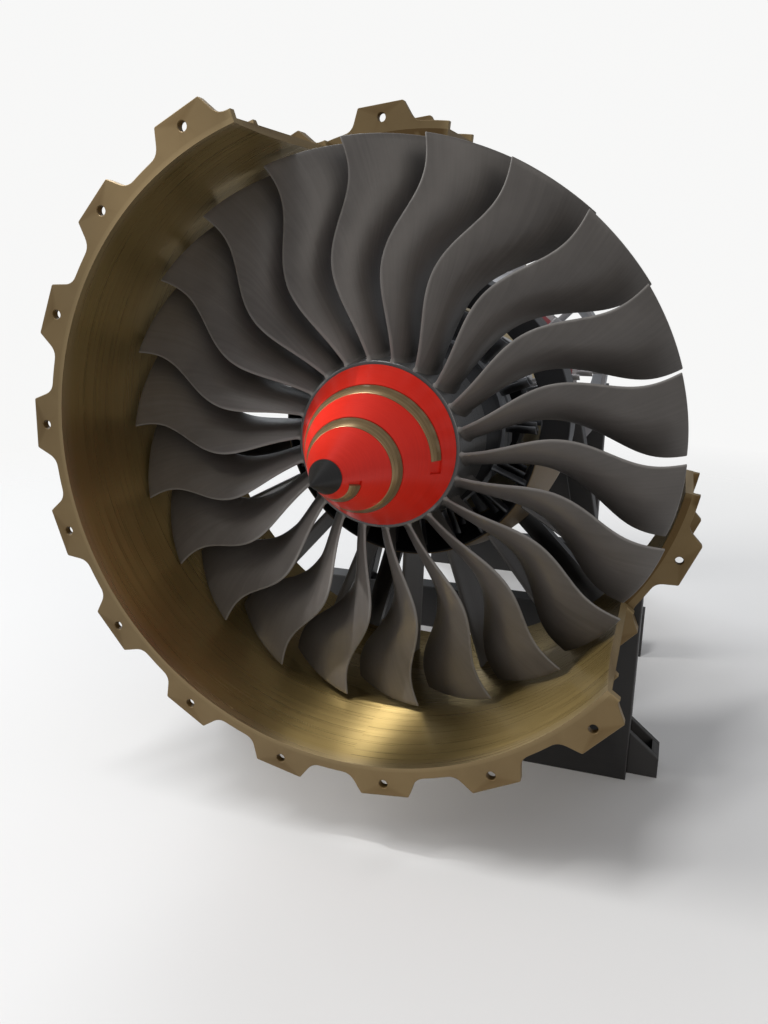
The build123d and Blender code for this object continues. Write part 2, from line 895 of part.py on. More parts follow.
# Rear stand frame: upright plate with a low window, cut out on top to the nozzle's own cone
with BuildPart() as stand_rear_frame:
    rear_frame_ends = [rear_frame_station + side * core_frame_depth / 2 for side in (-1, 1)]
    nozzle_cone = (exhaust_frame_rear_station, turbine_rear_r + core_wall, nozzle_rear_station, nozzle_rear_r)
    with BuildSketch(cross_plane(rear_frame_ends[1])):
        with Locations((0, -axis_height)):
            Rectangle(
                2 * rear_plate_half_width, axis_height - leg_top_drop, align=(Align.CENTER, Align.MIN)
            )
        with Locations((0, beam_height - axis_height)):
            Rectangle(
                2 * rear_window_half_width,
                rear_window_height,
                align=(Align.CENTER, Align.MIN),
                mode=Mode.SUBTRACT,
            )
    extrude(amount=core_frame_depth)
    turned(
        (rear_frame_ends[0], 0),
        (rear_frame_ends[0], duct_r(rear_frame_ends[0], *nozzle_cone) + cradle_gap),
        (rear_frame_ends[1], duct_r(rear_frame_ends[1], *nozzle_cone) + cradle_gap),
        (rear_frame_ends[1], 0),
        mode=Mode.SUBTRACT,
    )
finish(stand_rear_frame, "stand_rear_frame")
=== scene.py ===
from contextlib import contextmanager
from math import asin, atan2, cos, degrees, hypot, pi, radians, sin, sqrt

import bmesh
import bpy
from mathutils import Matrix, Vector


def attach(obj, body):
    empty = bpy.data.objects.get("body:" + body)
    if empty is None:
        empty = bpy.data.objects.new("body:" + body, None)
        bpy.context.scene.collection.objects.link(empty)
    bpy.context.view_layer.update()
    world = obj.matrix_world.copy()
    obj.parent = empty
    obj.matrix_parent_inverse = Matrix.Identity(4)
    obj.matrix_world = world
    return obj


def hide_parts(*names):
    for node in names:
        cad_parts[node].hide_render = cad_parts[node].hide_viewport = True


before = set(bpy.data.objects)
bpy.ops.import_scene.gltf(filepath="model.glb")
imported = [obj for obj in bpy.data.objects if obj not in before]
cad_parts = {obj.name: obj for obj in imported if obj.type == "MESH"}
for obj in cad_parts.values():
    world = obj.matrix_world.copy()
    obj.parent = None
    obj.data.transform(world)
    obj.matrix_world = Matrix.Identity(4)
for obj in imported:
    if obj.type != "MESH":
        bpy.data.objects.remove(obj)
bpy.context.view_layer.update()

# Cutaway turbofan display model. Sizes are in millimetres and angles in degrees, as in the CAD source:
# stations run back from the front flange, azimuths clockwise from the top as seen from the front.
MM = 0.001
AXIS_Z = 146.0
ORIGIN_STATION = 93.3
# Sectors that the cut cases keep
FRONT_CUT = (126.2, 341.5)
REAR_CUT = (99.7, 366.0)
BORE_R, SKIN_R = 107.9, 110.9
SPLIT, CASE_END = 76.5, 116.0
# Space left between neighbouring pieces
SEAM = 0.05


# Mesh helpers


def place(station, radius, azimuth):
    """Row-frame point, in metres, of a place round the engine's axis."""
    a = radians(azimuth)
    return (radius * sin(a) * MM, (station - ORIGIN_STATION) * MM, (AXIS_Z + radius * cos(a)) * MM)


def link_object(name, data):
    obj = bpy.data.objects.new(name, data)
    bpy.context.scene.collection.objects.link(obj)
    return obj


@contextmanager
def editing(mesh):
    """The mesh as a bmesh, written back at the end."""
    bm = bmesh.new()
    bm.from_mesh(mesh)
    yield bm
    bm.to_mesh(mesh)
    bm.free()


def shade_smooth(mesh):
    mesh.polygons.foreach_set("use_smooth", [True] * len(mesh.polygons))


def weld(obj):
    """Join doubled points, and drop the faces and edges that collapse on the axis."""
    with editing(obj.data) as bm:
        bmesh.ops.remove_doubles(bm, verts=bm.verts, dist=2e-6)
        bmesh.ops.dissolve_degenerate(bm, edges=bm.edges, dist=1e-7)
        loose = [edge for edge in bm.edges if not edge.link_faces]
        bmesh.ops.delete(bm, geom=loose, context="EDGES")
        bmesh.ops.recalc_face_normals(bm, faces=bm.faces)
    return obj


def sharpen(obj, angle):
    """Keep the edges sharper than the angle out of the smooth shading."""
    with editing(obj.data) as bm:
        for edge in bm.edges:
            if len(edge.link_faces) == 2:
                edge.smooth = edge.calc_face_angle(0) < radians(angle)
    return obj


def joined(name, objs):
    """One object from several, in row-frame coordinates."""
    bm = bmesh.new()
    for obj in objs:
        bm.from_mesh(obj.data)
    mesh = bpy.data.meshes.new(name)
    bm.to_mesh(mesh)
    bm.free()
    for obj in objs:
        bpy.data.objects.remove(obj)
    return link_object(name, mesh)


def merge(*parts):
    """One set of vertices and faces from several."""
    verts, faces = [], []
    for part_verts, part_faces in parts:
        base = len(verts)
        verts += part_verts
        faces += [tuple(i + base for i in face) for face in part_faces]
    return verts, faces


def make_object(name, *parts, angle=35.0, welded=False):
    """Object of (vertices, faces) sets, smooth but for edges sharper than the angle."""
    verts, faces = merge(*parts)
    mesh = bpy.data.meshes.new(name)
    mesh.from_pydata(verts, [], faces)
    mesh.validate()
    with editing(mesh) as bm:
        bmesh.ops.recalc_face_normals(bm, faces=bm.faces)
    shade_smooth(mesh)
    obj = link_object(name, mesh)
    return sharpen(weld(obj) if welded else obj, angle)


def row_faces(rows, n, around=False):
    """Quads between successive closed rows of n points; around joins the last row to the first."""
    faces = []
    for row in range(rows if around else rows - 1):
        a, b = row * n, (row + 1) % rows * n
        faces += [(a + i, a + (i + 1) % n, b + (i + 1) % n, b + i) for i in range(n)]
    return faces


def closed_rows(rows, n):
    """Quads between rows of n points, and a face at each end."""
    return [*row_faces(rows, n), tuple(range(n)), tuple(range((rows - 1) * n, rows * n))]


def bend(start, corner, end, steps):
    """Points of a curve that cuts a corner, with both its ends."""
    shares = [k / steps for k in range(steps + 1)]
    return [start * (1 - t) ** 2 + corner * 2 * t * (1 - t) + end * t**2 for t in shares]


def corners(loop):
    """Each point of a closed outline, with the one before it and the one after it."""
    points = [Vector(point) for point in loop]
    return zip(points, points[-1:] + points[:-1], points[1:] + points[:1])


def rounded(loop, radius, steps=3):
    """Closed outline with each corner cut back to a small arc, and a point just beyond each arc's ends.

    The radius is one number, or a list with one for each corner.
    """
    beyond, longest = 1.2, 0.4
    out = []
    for i, (p, last, following) in enumerate(corners(loop)):
        back, on = last - p, following - p
        r = radius[i] if isinstance(radius, list) else radius
        cut = min(r, back.length * longest, on.length * longest)
        if cut < 1e-4:
            out.append(tuple(p))
            continue
        back, on = back.normalized() * cut, on.normalized() * cut
        arc_points = bend(p + back, p, p + on, steps)
        out += [tuple(q) for q in (p + back * beyond, *arc_points, p + on * beyond)]
    return out


def revolve(outline, round_r=None, sector=(0.0, 360.0), step=2.0):
    """Vertices and faces of a closed (station, radius) outline swept round the axis."""
    profile = rounded(outline, round_r) if round_r else outline
    start, end = sector
    full = abs(end - start) > 359.9
    count = max(8, round(abs(end - start) / step))
    rings = count if full else count + 1
    n = len(profile)
    turns = [start + (end - start) * k / count for k in range(rings)]
    verts = [place(s, r, azimuth) for azimuth in turns for s, r in profile]
    faces = row_faces(rings, n, around=full)
    if not full:
        faces += [tuple(range(n))[::-1], tuple(range((rings - 1) * n, rings * n))]
    return verts, faces


def inset(loop, depth):
    """The loop's points moved to its left by the depth."""
    moved = []
    for p, last, following in corners(loop):
        d0, d1 = (p - last).normalized(), (following - p).normalized()
        n0, n1 = Vector((-d0.y, d0.x)), Vector((-d1.y, d1.x))
        normal = (n0 + n1).normalized() if (n0 + n1).length > 1e-6 else n0
        moved.append(tuple(p + normal * depth / max(normal.dot(n0), 0.5)))
    return moved


def signed_area(loop):
    return 0.5 * sum(a[0] * b[1] - b[0] * a[1] for a, b in zip(loop, loop[1:] + loop[:1]))


def fill_plate(name, loops, depth, bevel, station, height=0.0):
    """Chamfered plate across the axis from closed loops, of which the first is the outside.

    The loops' x runs to the right as seen from the front, and their y up from the height.
    """
    bm = bmesh.new()
    front_edges, back_edges = [], []
    half = depth / 2
    for number, loop in enumerate(loops):
        if (signed_area(loop) > 0) != (number == 0):
            loop = loop[::-1]
        small = inset(loop, bevel)
        levels = ((small, -half), (loop, -half + bevel), (loop, half - bevel), (small, half))
        rings = [[bm.verts.new((x * MM, y * MM, z * MM)) for x, y in points] for points, z in levels]
        pairs = [(i, (i + 1) % len(loop)) for i in range(len(loop))]
        for low, high in zip(rings, rings[1:]):
            for i, j in pairs:
                bm.faces.new((low[i], low[j], high[j], high[i]))
        for edges, ring in ((front_edges, rings[0]), (back_edges, rings[-1])):
            edges += [bm.edges.get((ring[i], ring[j])) for i, j in pairs]
    for edges in (front_edges, back_edges):
        bmesh.ops.triangle_fill(bm, use_beauty=True, use_dissolve=False, edges=edges)
    bmesh.ops.recalc_face_normals(bm, faces=bm.faces)
    across = Matrix(((1, 0, 0, 0), (0, 0, -1, (station - ORIGIN_STATION) * MM), (0, 1, 0, height * MM),
                     (0, 0, 0, 1)))
    bmesh.ops.transform(bm, matrix=across, verts=bm.verts)
    mesh = bpy.data.meshes.new(name)
    bm.to_mesh(mesh)
    bm.free()
    shade_smooth(mesh)
    return sharpen(link_object(name, mesh), 40.0)


def taper(station, front, front_r, rear, rear_r):
    """Radius at a station of a cone through two places."""
    return front_r + (rear_r - front_r) * (station - front) / (rear - front)


# Flanges with lugs, whose roots are rounded

RIM_R, FLANGE_DEPTH, FLANGE_INNER_R = 113.5, 3.0, BORE_R + 2.2
LUG_AZIMUTH, LUG_PITCH = -7.07, 20.0
LUG_TOP_R, LUG_TOP_HALF, LUG_ROOT_HALF, LUG_FILLET = 120.6, 9.0, 12.5, 3.0
LUG_HOLE_CIRCLE_R, LUG_HOLE_R = 116.0, 1.6


def polar(radius, azimuth):
    a = radians(azimuth)
    return (radius * sin(a), radius * cos(a))


def circle(x, y, r, n=20):
    return [(x + r * cos(2 * pi * k / n), y + r * sin(2 * pi * k / n)) for k in range(n)]


def lug_outline(center):
    """Outer edge of one lug, clockwise: rim, root, top corners, root, rim."""
    base = sqrt(RIM_R**2 - LUG_ROOT_HALF**2)
    slope = (LUG_ROOT_HALF - LUG_TOP_HALF) / (LUG_TOP_R - base)
    foot = LUG_ROOT_HALF + LUG_FILLET
    corner_cut = 0.5
    sides = []
    for sign in (-1, 1):
        root = Vector((sign * LUG_ROOT_HALF, base))
        along = Vector((-sign * slope, 1)).normalized()
        on_rim = Vector((sign * foot, sqrt(RIM_R**2 - foot**2)))
        fillet = bend(on_rim, root, root + along * LUG_FILLET, 5)
        corner = Vector((sign * LUG_TOP_HALF, LUG_TOP_R))
        top = bend(corner - along * corner_cut, corner, corner - Vector((sign * corner_cut, 0)), 3)
        sides.append(fillet + top)
    left, right = sides
    a = radians(center)
    return [(sin(a) * y + cos(a) * x, cos(a) * y - sin(a) * x) for x, y in left + right[::-1]]


def flange_loops(start, end):
    """Outline of a flange sector with its lugs, and its screw holes."""
    half_lug = degrees(asin((LUG_ROOT_HALF + LUG_FILLET) / RIM_R))
    rim_step, clear, hole_margin, inner_steps = 1.5, 0.8, 2, 140
    outer, holes = [], []

    def follow_rim(azimuth, stop):
        while azimuth < stop:
            outer.append(polar(RIM_R, azimuth))
            azimuth += rim_step

    rim_from = start
    for center in [LUG_AZIMUTH + LUG_PITCH * k for k in range(-2, 22)]:
        if not start < center < end:
            continue
        follow_rim(rim_from, center - half_lug - clear)
        for x, y in lug_outline(center):
            angle = degrees(atan2(x, y))
            while angle < center - 90:
                angle += 360
            if start <= angle <= end:
                outer.append((x, y))
        rim_from = center + half_lug + clear
        if start + hole_margin < center < end - hole_margin:
            holes.append(circle(*polar(LUG_HOLE_CIRCLE_R, center), LUG_HOLE_R))
    follow_rim(rim_from, end)
    # the sector is closed along its two cut edges
    ends = ((outer[0], start), (outer[-1], end))
    first, last = (polar(max(RIM_R, hypot(*point)), angle) for point, angle in ends)
    inner = [polar(FLANGE_INNER_R, end - (end - start) * k / inner_steps) for k in range(inner_steps + 1)]
    return [[first, *outer, last, *inner], *holes]


def flange(name, front_station, sector):
    """Flange that starts inside the wall, a hair back from the wall's end and cut faces."""
    hair, chamfer = 0.02, 0.22
    loops = flange_loops(sector[0] + hair, sector[1] - hair)
    middle = front_station + FLANGE_DEPTH / 2
    return fill_plate(name, loops, FLANGE_DEPTH - 2 * hair, chamfer, middle, AXIS_Z)


# Materials

SPIRAL_AZIMUTH = 104.0
STRIPE_START, STRIPE_PITCH, STRIPE_TURNS, STRIPE_WIDTH = -9.9, 17.0, 1.97, 4.8


class Shader:
    """A few words for building node materials."""

    def __init__(self, name):
        self.mat = bpy.data.materials.new(name)
        self.mat.use_nodes = True
        self.tree = self.mat.node_tree
        self.tree.nodes.clear()
        self.out = self.node("ShaderNodeOutputMaterial")
        self.bsdf = self.node("ShaderNodeBsdfPrincipled")
        self.link(self.bsdf.outputs[0], self.out.inputs[0])

    def node(self, kind, **props):
        n = self.tree.nodes.new(kind)
        for key, value in props.items():
            setattr(n, key, value)
        return n

    def link(self, a, b):
        self.tree.links.new(a, b)

    def put(self, socket, value):
        if hasattr(value, "is_output"):
            self.link(value, socket)
        else:
            socket.default_value = value

    def filled(self, n, *values):
        """First output of a node whose first inputs get the values."""
        for i, value in enumerate(values):
            self.put(n.inputs[i], value)
        return n.outputs[0]

    def named(self, n, **values):
        """The node, whose inputs get the values by name; None is left out."""
        for key, value in values.items():
            if value is not None:
                self.put(n.inputs[key.replace("_", " ")], value)
        return n

    def math(self, op, a, b=0.0):
        return self.filled(self.node("ShaderNodeMath", operation=op), a, b)

    def times(self, a, b):
        return self.math("MULTIPLY", a, b)

    def plus(self, a, b):
        return self.math("ADD", a, b)

    def shares(self, a, share_a, b, share_b):
        """Sum of two values, each times its share."""
        return self.plus(self.times(a, share_a), self.times(b, share_b))

    def length(self, a, b):
        return self.math("SQRT", self.shares(a, a, b, b))

    def span(self, value, low, high, to_low=0.0, to_high=1.0):
        return self.filled(self.node("ShaderNodeMapRange", clamp=True), value, low, high, to_low, to_high)

    def coords(self):
        """Object coordinates, whole and as x, y and z."""
        where = self.node("ShaderNodeTexCoord").outputs["Object"]
        parts = self.node("ShaderNodeSeparateXYZ")
        self.link(where, parts.inputs[0])
        return where, *parts.outputs

    def round_coords(self):
        """Object coordinates, whole and as station, angle round the engine's axis, and radius."""
        where, x, y, z = self.coords()
        up = self.math("SUBTRACT", z, AXIS_Z * MM)
        return where, y, self.math("ARCTAN2", x, up), self.length(x, up)

    def noise(self, vector, scale=1.0, detail=3.0, rough=0.55):
        n = self.node("ShaderNodeTexNoise", noise_dimensions="3D")
        return self.named(n, Vector=vector, Scale=scale, Detail=detail, Roughness=rough).outputs["Fac"]

    def streaks(self, *axes, detail=2.0, rough=0.6):
        """Noise over three coordinates; a pair is a coordinate and its stretch."""
        stretched = [self.times(*axis) if isinstance(axis, tuple) else axis for axis in axes]
        vector = self.filled(self.node("ShaderNodeCombineXYZ"), *stretched)
        return self.noise(vector, 1.0, detail, rough)

    def grain(self, where, scale):
        return self.noise(where, scale, 2.0, 0.6)

    def ramp(self, value, *stops):
        n = self.node("ShaderNodeValToRGB")
        while len(n.color_ramp.elements) < len(stops):
            n.color_ramp.elements.new(0.5)
        for element, (at, colour) in zip(n.color_ramp.elements, stops):
            element.position = at
            element.color = (*colour, 1.0)
        return self.filled(n, value)

    def mix(self, factor, a, b):
        n = self.node("ShaderNodeMix", data_type="RGBA", blend_type="MIX")
        self.put(n.inputs["Factor"], factor)
        self.put(n.inputs[6], a)
        self.put(n.inputs[7], (*b, 1.0) if isinstance(b, tuple) else b)
        return n.outputs[2]

    def relief(self, *layers):
        """Bumps laid over each other; a layer is a height, a strength and a distance."""
        normal = None
        for height, strength, distance in layers:
            n = self.node("ShaderNodeBump")
            self.named(n, Strength=strength, Distance=distance, Height=height, Normal=normal)
            normal = n.outputs[0]
        return normal

    def edge_wear(self, strength):
        """The strength along outer edges, found by the mesh's own curvature."""
        pointiness = self.node("ShaderNodeNewGeometry").outputs["Pointiness"]
        return self.times(self.span(pointiness, 0.53, 0.6), strength)

    def finish(self, colour, rough, metallic=0.0, normal=None, **fixed):
        self.named(self.bsdf, Base_Color=colour, Roughness=rough, Metallic=metallic, Normal=normal, **fixed)
        return self.mat


def printed(name, base, dark, light, rough, metallic=0.0, lines=1.0, wear=None, fleck=0.0, upright=False,
            shine=0.5):
    """Printed plastic: fine layer lines, soft mottling, lighter worn edges.

    The lines run round the axis, or level where the piece was printed upright.
    """
    s = Shader(name)
    if upright:
        where, x, y, z = s.coords()
        line = s.streaks((x, 18.0), (y, 18.0), (z, 1300.0))
    else:
        where, station, angle, radius = s.round_coords()
        line = s.streaks((angle, 1.1), (station, 1500.0), (radius, 12.0))
    broad = s.noise(where, 26.0, 4.0, 0.55)
    grain = s.grain(where, 1400.0)
    colour = s.ramp(s.shares(line, 0.45, broad, 0.55), (0.28, dark), (0.5, base), (0.74, light))
    if fleck:
        spots = s.span(s.noise(where, 2600.0, 1.0, 0.5), 0.66, 0.78, 0.0, fleck)
        colour = s.mix(spots, colour, light)
    if wear:
        colour = s.mix(s.edge_wear(0.75), colour, wear)
    roughness = s.span(s.shares(line, 0.6, grain, 0.4), 0.3, 0.7, *rough)
    normal = s.relief((line, 0.32 * lines, 0.00012), (grain, 0.12, 0.00008))
    return s.finish(colour, roughness, metallic, normal, Specular_IOR_Level=shine)


def make_bore_material():
    """Bronze plastic with a sheen inside the bore, and fine lines round the axis."""
    s = Shader("bronze_bore")
    where, station, angle, _ = s.round_coords()
    fine = s.streaks((angle, 1.2), (station, 3600.0), 0.0)
    wide = s.streaks((angle, 1.6), (station, 700.0), 3.0)
    broad = s.noise(where, 14.0, 3.0, 0.5)
    tone = s.plus(s.times(fine, 0.3), s.shares(wide, 0.14, broad, 0.56))
    colour = s.ramp(tone, (0.3, (0.215, 0.15, 0.052)), (0.5, (0.28, 0.202, 0.076)),
                    (0.7, (0.35, 0.26, 0.108)))
    colour = s.mix(s.edge_wear(0.8), colour, (0.4, 0.31, 0.18))
    rough = s.span(s.shares(wide, 0.4, fine, 0.6), 0.32, 0.68, 0.25, 0.34)
    normal = s.relief((fine, 0.34, 0.0001), (wide, 0.2, 0.0002), (s.grain(where, 1500.0), 0.05, 0.00005))
    # the sheen is stretched along the engine's axis
    along_axis = s.filled(s.node("ShaderNodeCombineXYZ"), 0.0, 1.0, 0.0)
    s.link(along_axis, s.bsdf.inputs["Tangent"])
    return s.finish(colour, rough, 0.88, normal, Anisotropic=1.0)


def make_blade_material():
    """Grey plastic of the fan blades: layer lines, and a painted highlight that makes the leading edges and
    tips paler.
    """
    s = Shader("blade_grey_detail")
    where, station, angle, radius = s.round_coords()
    fine = s.streaks((angle, 3.0), (station, 1700.0), (radius, 20.0))
    grain = s.grain(where, 1700.0)
    tone = s.shares(fine, 0.35, s.noise(where, 34.0, 4.0, 0.6), 0.65)
    colour = s.ramp(tone, (0.28, (0.062, 0.0555, 0.051)), (0.5, (0.085, 0.0765, 0.07)),
                    (0.72, (0.113, 0.103, 0.095)))
    # painted highlight: the edge weight makes the leading edges and tips paler
    edge = s.node("ShaderNodeAttribute", attribute_name="edge").outputs["Fac"]
    waver = s.span(s.streaks(0.0, (station, 900.0), radius, detail=1.0, rough=0.55), 0.3, 0.7, -0.14, 0.14)
    colour = s.mix(s.span(s.plus(edge, waver), 0.3, 1.0, 0.0, 0.6), colour, (0.235, 0.222, 0.208))
    rough = s.span(s.shares(fine, 0.5, grain, 0.5), 0.3, 0.7, 0.36, 0.5)
    return s.finish(colour, rough, 0.0, s.relief((fine, 0.26, 0.00014), (grain, 0.1, 0.00008)))


def make_stripe_material():
    """Bronze ribbon with fine bright lines that run along the spiral."""
    s = Shader("stripe_bronze")
    where, station, angle, _ = s.round_coords()
    turns = s.math("SUBTRACT", s.math("DIVIDE", angle, 2 * pi), SPIRAL_AZIMUTH / 360.0)
    pitches = s.math("DIVIDE", s.plus(station, (ORIGIN_STATION - STRIPE_START) * MM), STRIPE_PITCH * MM)
    across = s.math("FRACT", s.plus(s.math("SUBTRACT", pitches, turns), 0.5))
    fine = s.streaks((across, 62.0), (angle, 0.8), 0.0)
    wide = s.streaks((across, 19.0), (angle, 0.5), 5.0, detail=1.0, rough=0.5)
    colour = s.ramp(s.shares(fine, 0.55, wide, 0.45), (0.3, (0.19, 0.122, 0.056)),
                    (0.5, (0.27, 0.185, 0.092)), (0.7, (0.37, 0.27, 0.145)))
    normal = s.relief((fine, 0.3, 0.0001), (s.grain(where, 1600.0), 0.06, 0.00005))
    return s.finish(colour, s.span(fine, 0.3, 0.7, 0.26, 0.38), 0.6, normal)


def make_table_material():
    """Pale matt floor that fades out round the model, into the white behind it."""
    s = Shader("pale_floor")
    where, x, y, _ = s.coords()
    s.finish(s.ramp(s.noise(where, 2.0), (0.3, (0.85, 0.845, 0.84)), (0.7, (0.88, 0.875, 0.87))), 0.75)
    clear = s.node("ShaderNodeBsdfTransparent")
    fade = s.span(s.length(x, y), 0.16, 0.75)
    faded = s.filled(s.node("ShaderNodeMixShader"), fade, s.bsdf.outputs[0], clear.outputs[0])
    s.link(faded, s.out.inputs[0])
    return s.mat


# Each printed material: name, middle, dark and light colour, and the range of its roughness
mats = {
    "flange": printed("bronze_flange", (0.098, 0.056, 0.0155), (0.072, 0.04, 0.0105),
        (0.134, 0.081, 0.025), (0.44, 0.58), metallic=0.3, lines=0.7, wear=(0.3, 0.225, 0.115),
        fleck=0.25, shine=0.35),
    "bore": make_bore_material(),
    "blade": make_blade_material(),
    "hub": printed("hub_grey", (0.092, 0.09, 0.089), (0.066, 0.064, 0.064), (0.125, 0.123, 0.122),
        (0.26, 0.36), metallic=0.45, wear=(0.15, 0.15, 0.15)),
    "red": printed("spinner_red_detail", (0.6, 0.018, 0.008), (0.53, 0.014, 0.006), (0.66, 0.026, 0.012),
        (0.3, 0.4), lines=0.35, shine=0.4),
    "stripe": make_stripe_material(),
    "tip": printed("tip_black_detail", (0.014, 0.0135, 0.013), (0.01, 0.0095, 0.009),
        (0.021, 0.02, 0.019), (0.34, 0.46), shine=0.4),
    # near-black that stands for the shade inside the core: painted shade
    "dark": printed("core_painted_shade", (0.017, 0.017, 0.0185), (0.012, 0.012, 0.013), (0.026, 0.026, 0.028),
        (0.34, 0.48), wear=(0.24, 0.25, 0.27), shine=0.3),
    "plug": printed("plug_grey", (0.042, 0.042, 0.045), (0.031, 0.031, 0.034), (0.06, 0.06, 0.064),
        (0.32, 0.44), metallic=0.2, lines=0.6),
    # the blades' grey made darker for the bypass vanes: painted shade
    "vane_painted_shade_grey": printed("vane_painted_shade_grey", (0.072, 0.067, 0.064), (0.052, 0.048, 0.045), (0.098, 0.092, 0.088),
        (0.38, 0.52), wear=(0.19, 0.185, 0.18)),
    "vane": printed("frame_bronze", (0.175, 0.112, 0.042), (0.13, 0.082, 0.029), (0.235, 0.158, 0.066),
        (0.42, 0.56), metallic=0.15, wear=(0.36, 0.28, 0.17)),
    "silver": printed("core_silver", (0.3, 0.3, 0.315), (0.23, 0.23, 0.245), (0.38, 0.38, 0.39),
        (0.32, 0.46), metallic=0.3, wear=(0.52, 0.52, 0.53)),
    "cream": printed("core_cream", (0.56, 0.48, 0.32), (0.46, 0.385, 0.245), (0.65, 0.58, 0.42),
        (0.42, 0.56)),
    "maroon": printed("core_maroon", (0.2, 0.014, 0.022), (0.135, 0.009, 0.014), (0.28, 0.024, 0.034),
        (0.34, 0.48), wear=(0.36, 0.08, 0.09)),
    "steel": printed("shaft_steel", (0.36, 0.36, 0.37), (0.28, 0.28, 0.29), (0.46, 0.46, 0.47),
        (0.22, 0.36), metallic=0.8),
    "stand": printed("stand_black_detail", (0.0115, 0.011, 0.011), (0.008, 0.0078, 0.0078),
        (0.018, 0.0172, 0.017), (0.44, 0.58), wear=(0.045, 0.043, 0.042), upright=True,
        shine=0.3),
}


def dress(obj, material, body, slot, *nodes):
    """Material, body and the CAD nodes that a piece stands for; the record slot is not used."""
    obj.data.materials.clear()
    obj.data.materials.append(mats[material])
    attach(obj, body)
    if nodes:
        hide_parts(*nodes)
    return obj


def paint(obj, material, chosen):
    """Second material on the faces that the test picks, by the face and its x and z from the axis."""
    obj.data.materials.append(mats[material])
    for poly in obj.data.polygons:
        if chosen(poly, poly.center.x, poly.center.z - AXIS_Z * MM):
            poly.material_index = 1


def outward(poly, x, z):
    """1 where a face looks straight away from the axis, -1 where it looks at it."""
    return (poly.normal.x * x + poly.normal.z * z) / max(hypot(x, z), 1e-6)


# Fan cases


def bore_face(poly, x, z):
    return outward(poly, x, z) < -0.5 and hypot(x, z) < 109.5 * MM


WALL_STEP = 1.2
# the intake taper and the bore, then the outer skin with its stiffening rib
front_wall = [(0.0, 109.3), (6.0, 108.85), (14.0, 108.3), (25.0, BORE_R), (50.0, BORE_R), (SPLIT, BORE_R),
              (SPLIT, SKIN_R), (16.9, SKIN_R), (16.5, 112.3), (14.3, 112.3), (13.9, SKIN_R), (0.0, SKIN_R)]
front_case = joined("front_case_shell", [
    make_object("front_wall", revolve(front_wall, None, FRONT_CUT, WALL_STEP)),
    flange("front_flange", 0.0, FRONT_CUT),
    flange("front_rear_flange", SPLIT - FLANGE_DEPTH, FRONT_CUT),
])
dress(front_case, "flange", "engine", "case_bronze", "front_fan_case")
paint(front_case, "bore", bore_face)

rear_start = SPLIT + SEAM
rear_wall = [(rear_start, BORE_R), (CASE_END, BORE_R), (CASE_END, SKIN_R), (rear_start, SKIN_R)]
rear_case = weld(joined("rear_case_shell", [
    make_object("rear_wall", revolve(rounded(rear_wall, 0.2, 1), None, REAR_CUT, WALL_STEP)),
    flange("rear_front_flange", rear_start, REAR_CUT),
    flange("rear_rear_flange", CASE_END - FLANGE_DEPTH, REAR_CUT),
]))
dress(rear_case, "flange", "engine", "case_bronze", "rear_fan_case")
paint(rear_case, "bore", bore_face)


# Fan: swept blades on a tapered hub

BLADES = 22
HUB_FRONT, HUB_REAR, HUB_BORE_R = (33.0, 30.5), (60.0, 34.0), 5.05
TIP_R = 105.1
# Laws from root to tip: root value, tip value, belly, bend and ripple
EDGE_STATION = (33.9, 38.3, -3.6, -1.9, 0.6)
EDGE_SWEEP = (1.5, 0.0, -5.3, -2.6, 1.0)
AXIAL_CHORD = (20.0, 17.0, -2.5, 0.0, 0.0)
FIRST_AZIMUTH = -41.4
# Sizes at the root and at the tip, or all the way up
THICKNESS, CAMBER = (3.0, 1.8), (0.13, 0.04)
PEAK, NOSE_R, TAIL_HALF, TAIL_R = 0.45, 0.45, 0.22, 0.3
ROOT_FILLET, FLARE_LIMIT = 1.3, 0.9


def wave(t, root, tip, belly, bow, ripple):
    return root + (tip - root) * t + belly * sin(pi * t) + bow * sin(2 * pi * t) + ripple * sin(3 * pi * t)


def between(t, root, tip):
    return root + (tip - root) * t


def quarter_round(x):
    """Height of a unit quarter circle at a distance from its edge."""
    return sqrt(max(0.0, 1 - (1 - min(x, 1.0)) ** 2))


def blade_section(radius):
    """Closed section of a blade: (station, side, edge weight) points, its middle azimuth and half angle."""
    t = (radius - HUB_FRONT[1]) / (TIP_R - HUB_FRONT[1])
    azimuth = FIRST_AZIMUTH + wave(t, *EDGE_SWEEP)
    wrap = 6.5 + 9.5 * sin(pi / 2 * t) + 0.8 * t
    half = radians(wrap / 2)
    thickness = between(t, *THICKNESS)
    front = Vector((-radius * sin(half), wave(t, *EDGE_STATION)))
    chord = Vector((2 * radius * sin(half), wave(t, *AXIAL_CHORD)))
    length = chord.length
    along, across = chord / length, Vector((chord.y, -chord.x)) / length
    rise = between(t, *CAMBER) * length
    nose = NOSE_R / length

    def camber(x):
        return rise * (1 - ((x - PEAK) / (PEAK if x < PEAK else 1 - PEAK)) ** 2)

    def half_thickness(x):
        if x < PEAK:
            body = NOSE_R + (thickness / 2 - NOSE_R) * sin(pi / 2 * x / PEAK)
        else:
            body = TAIL_HALF + (thickness / 2 - TAIL_HALF) * (1 - ((x - PEAK) / (1 - PEAK)) ** 1.7)
        if x < nose:
            body = min(body, NOSE_R * quarter_round(x * length / NOSE_R))
        return body * quarter_round((1 - x) * length / TAIL_R)

    steps = 17
    xs = [0.0, 0.12 * nose, 0.45 * nose, nose]
    xs += [nose + (0.985 - nose) * (1 - cos(pi * k / steps)) / 2 for k in range(1, steps + 1)] + [1.0]
    loop = [(x, camber(x) + half_thickness(x)) for x in xs]
    loop += [(x, camber(x) - half_thickness(x)) for x in reversed(xs[1:-1])]
    points = []
    for x, y in loop:
        p = front + along * (x * length) + across * y
        points.append((p.y, p.x, max(0.0, 1 - x * length)))
    return points, azimuth + wrap / 2, half


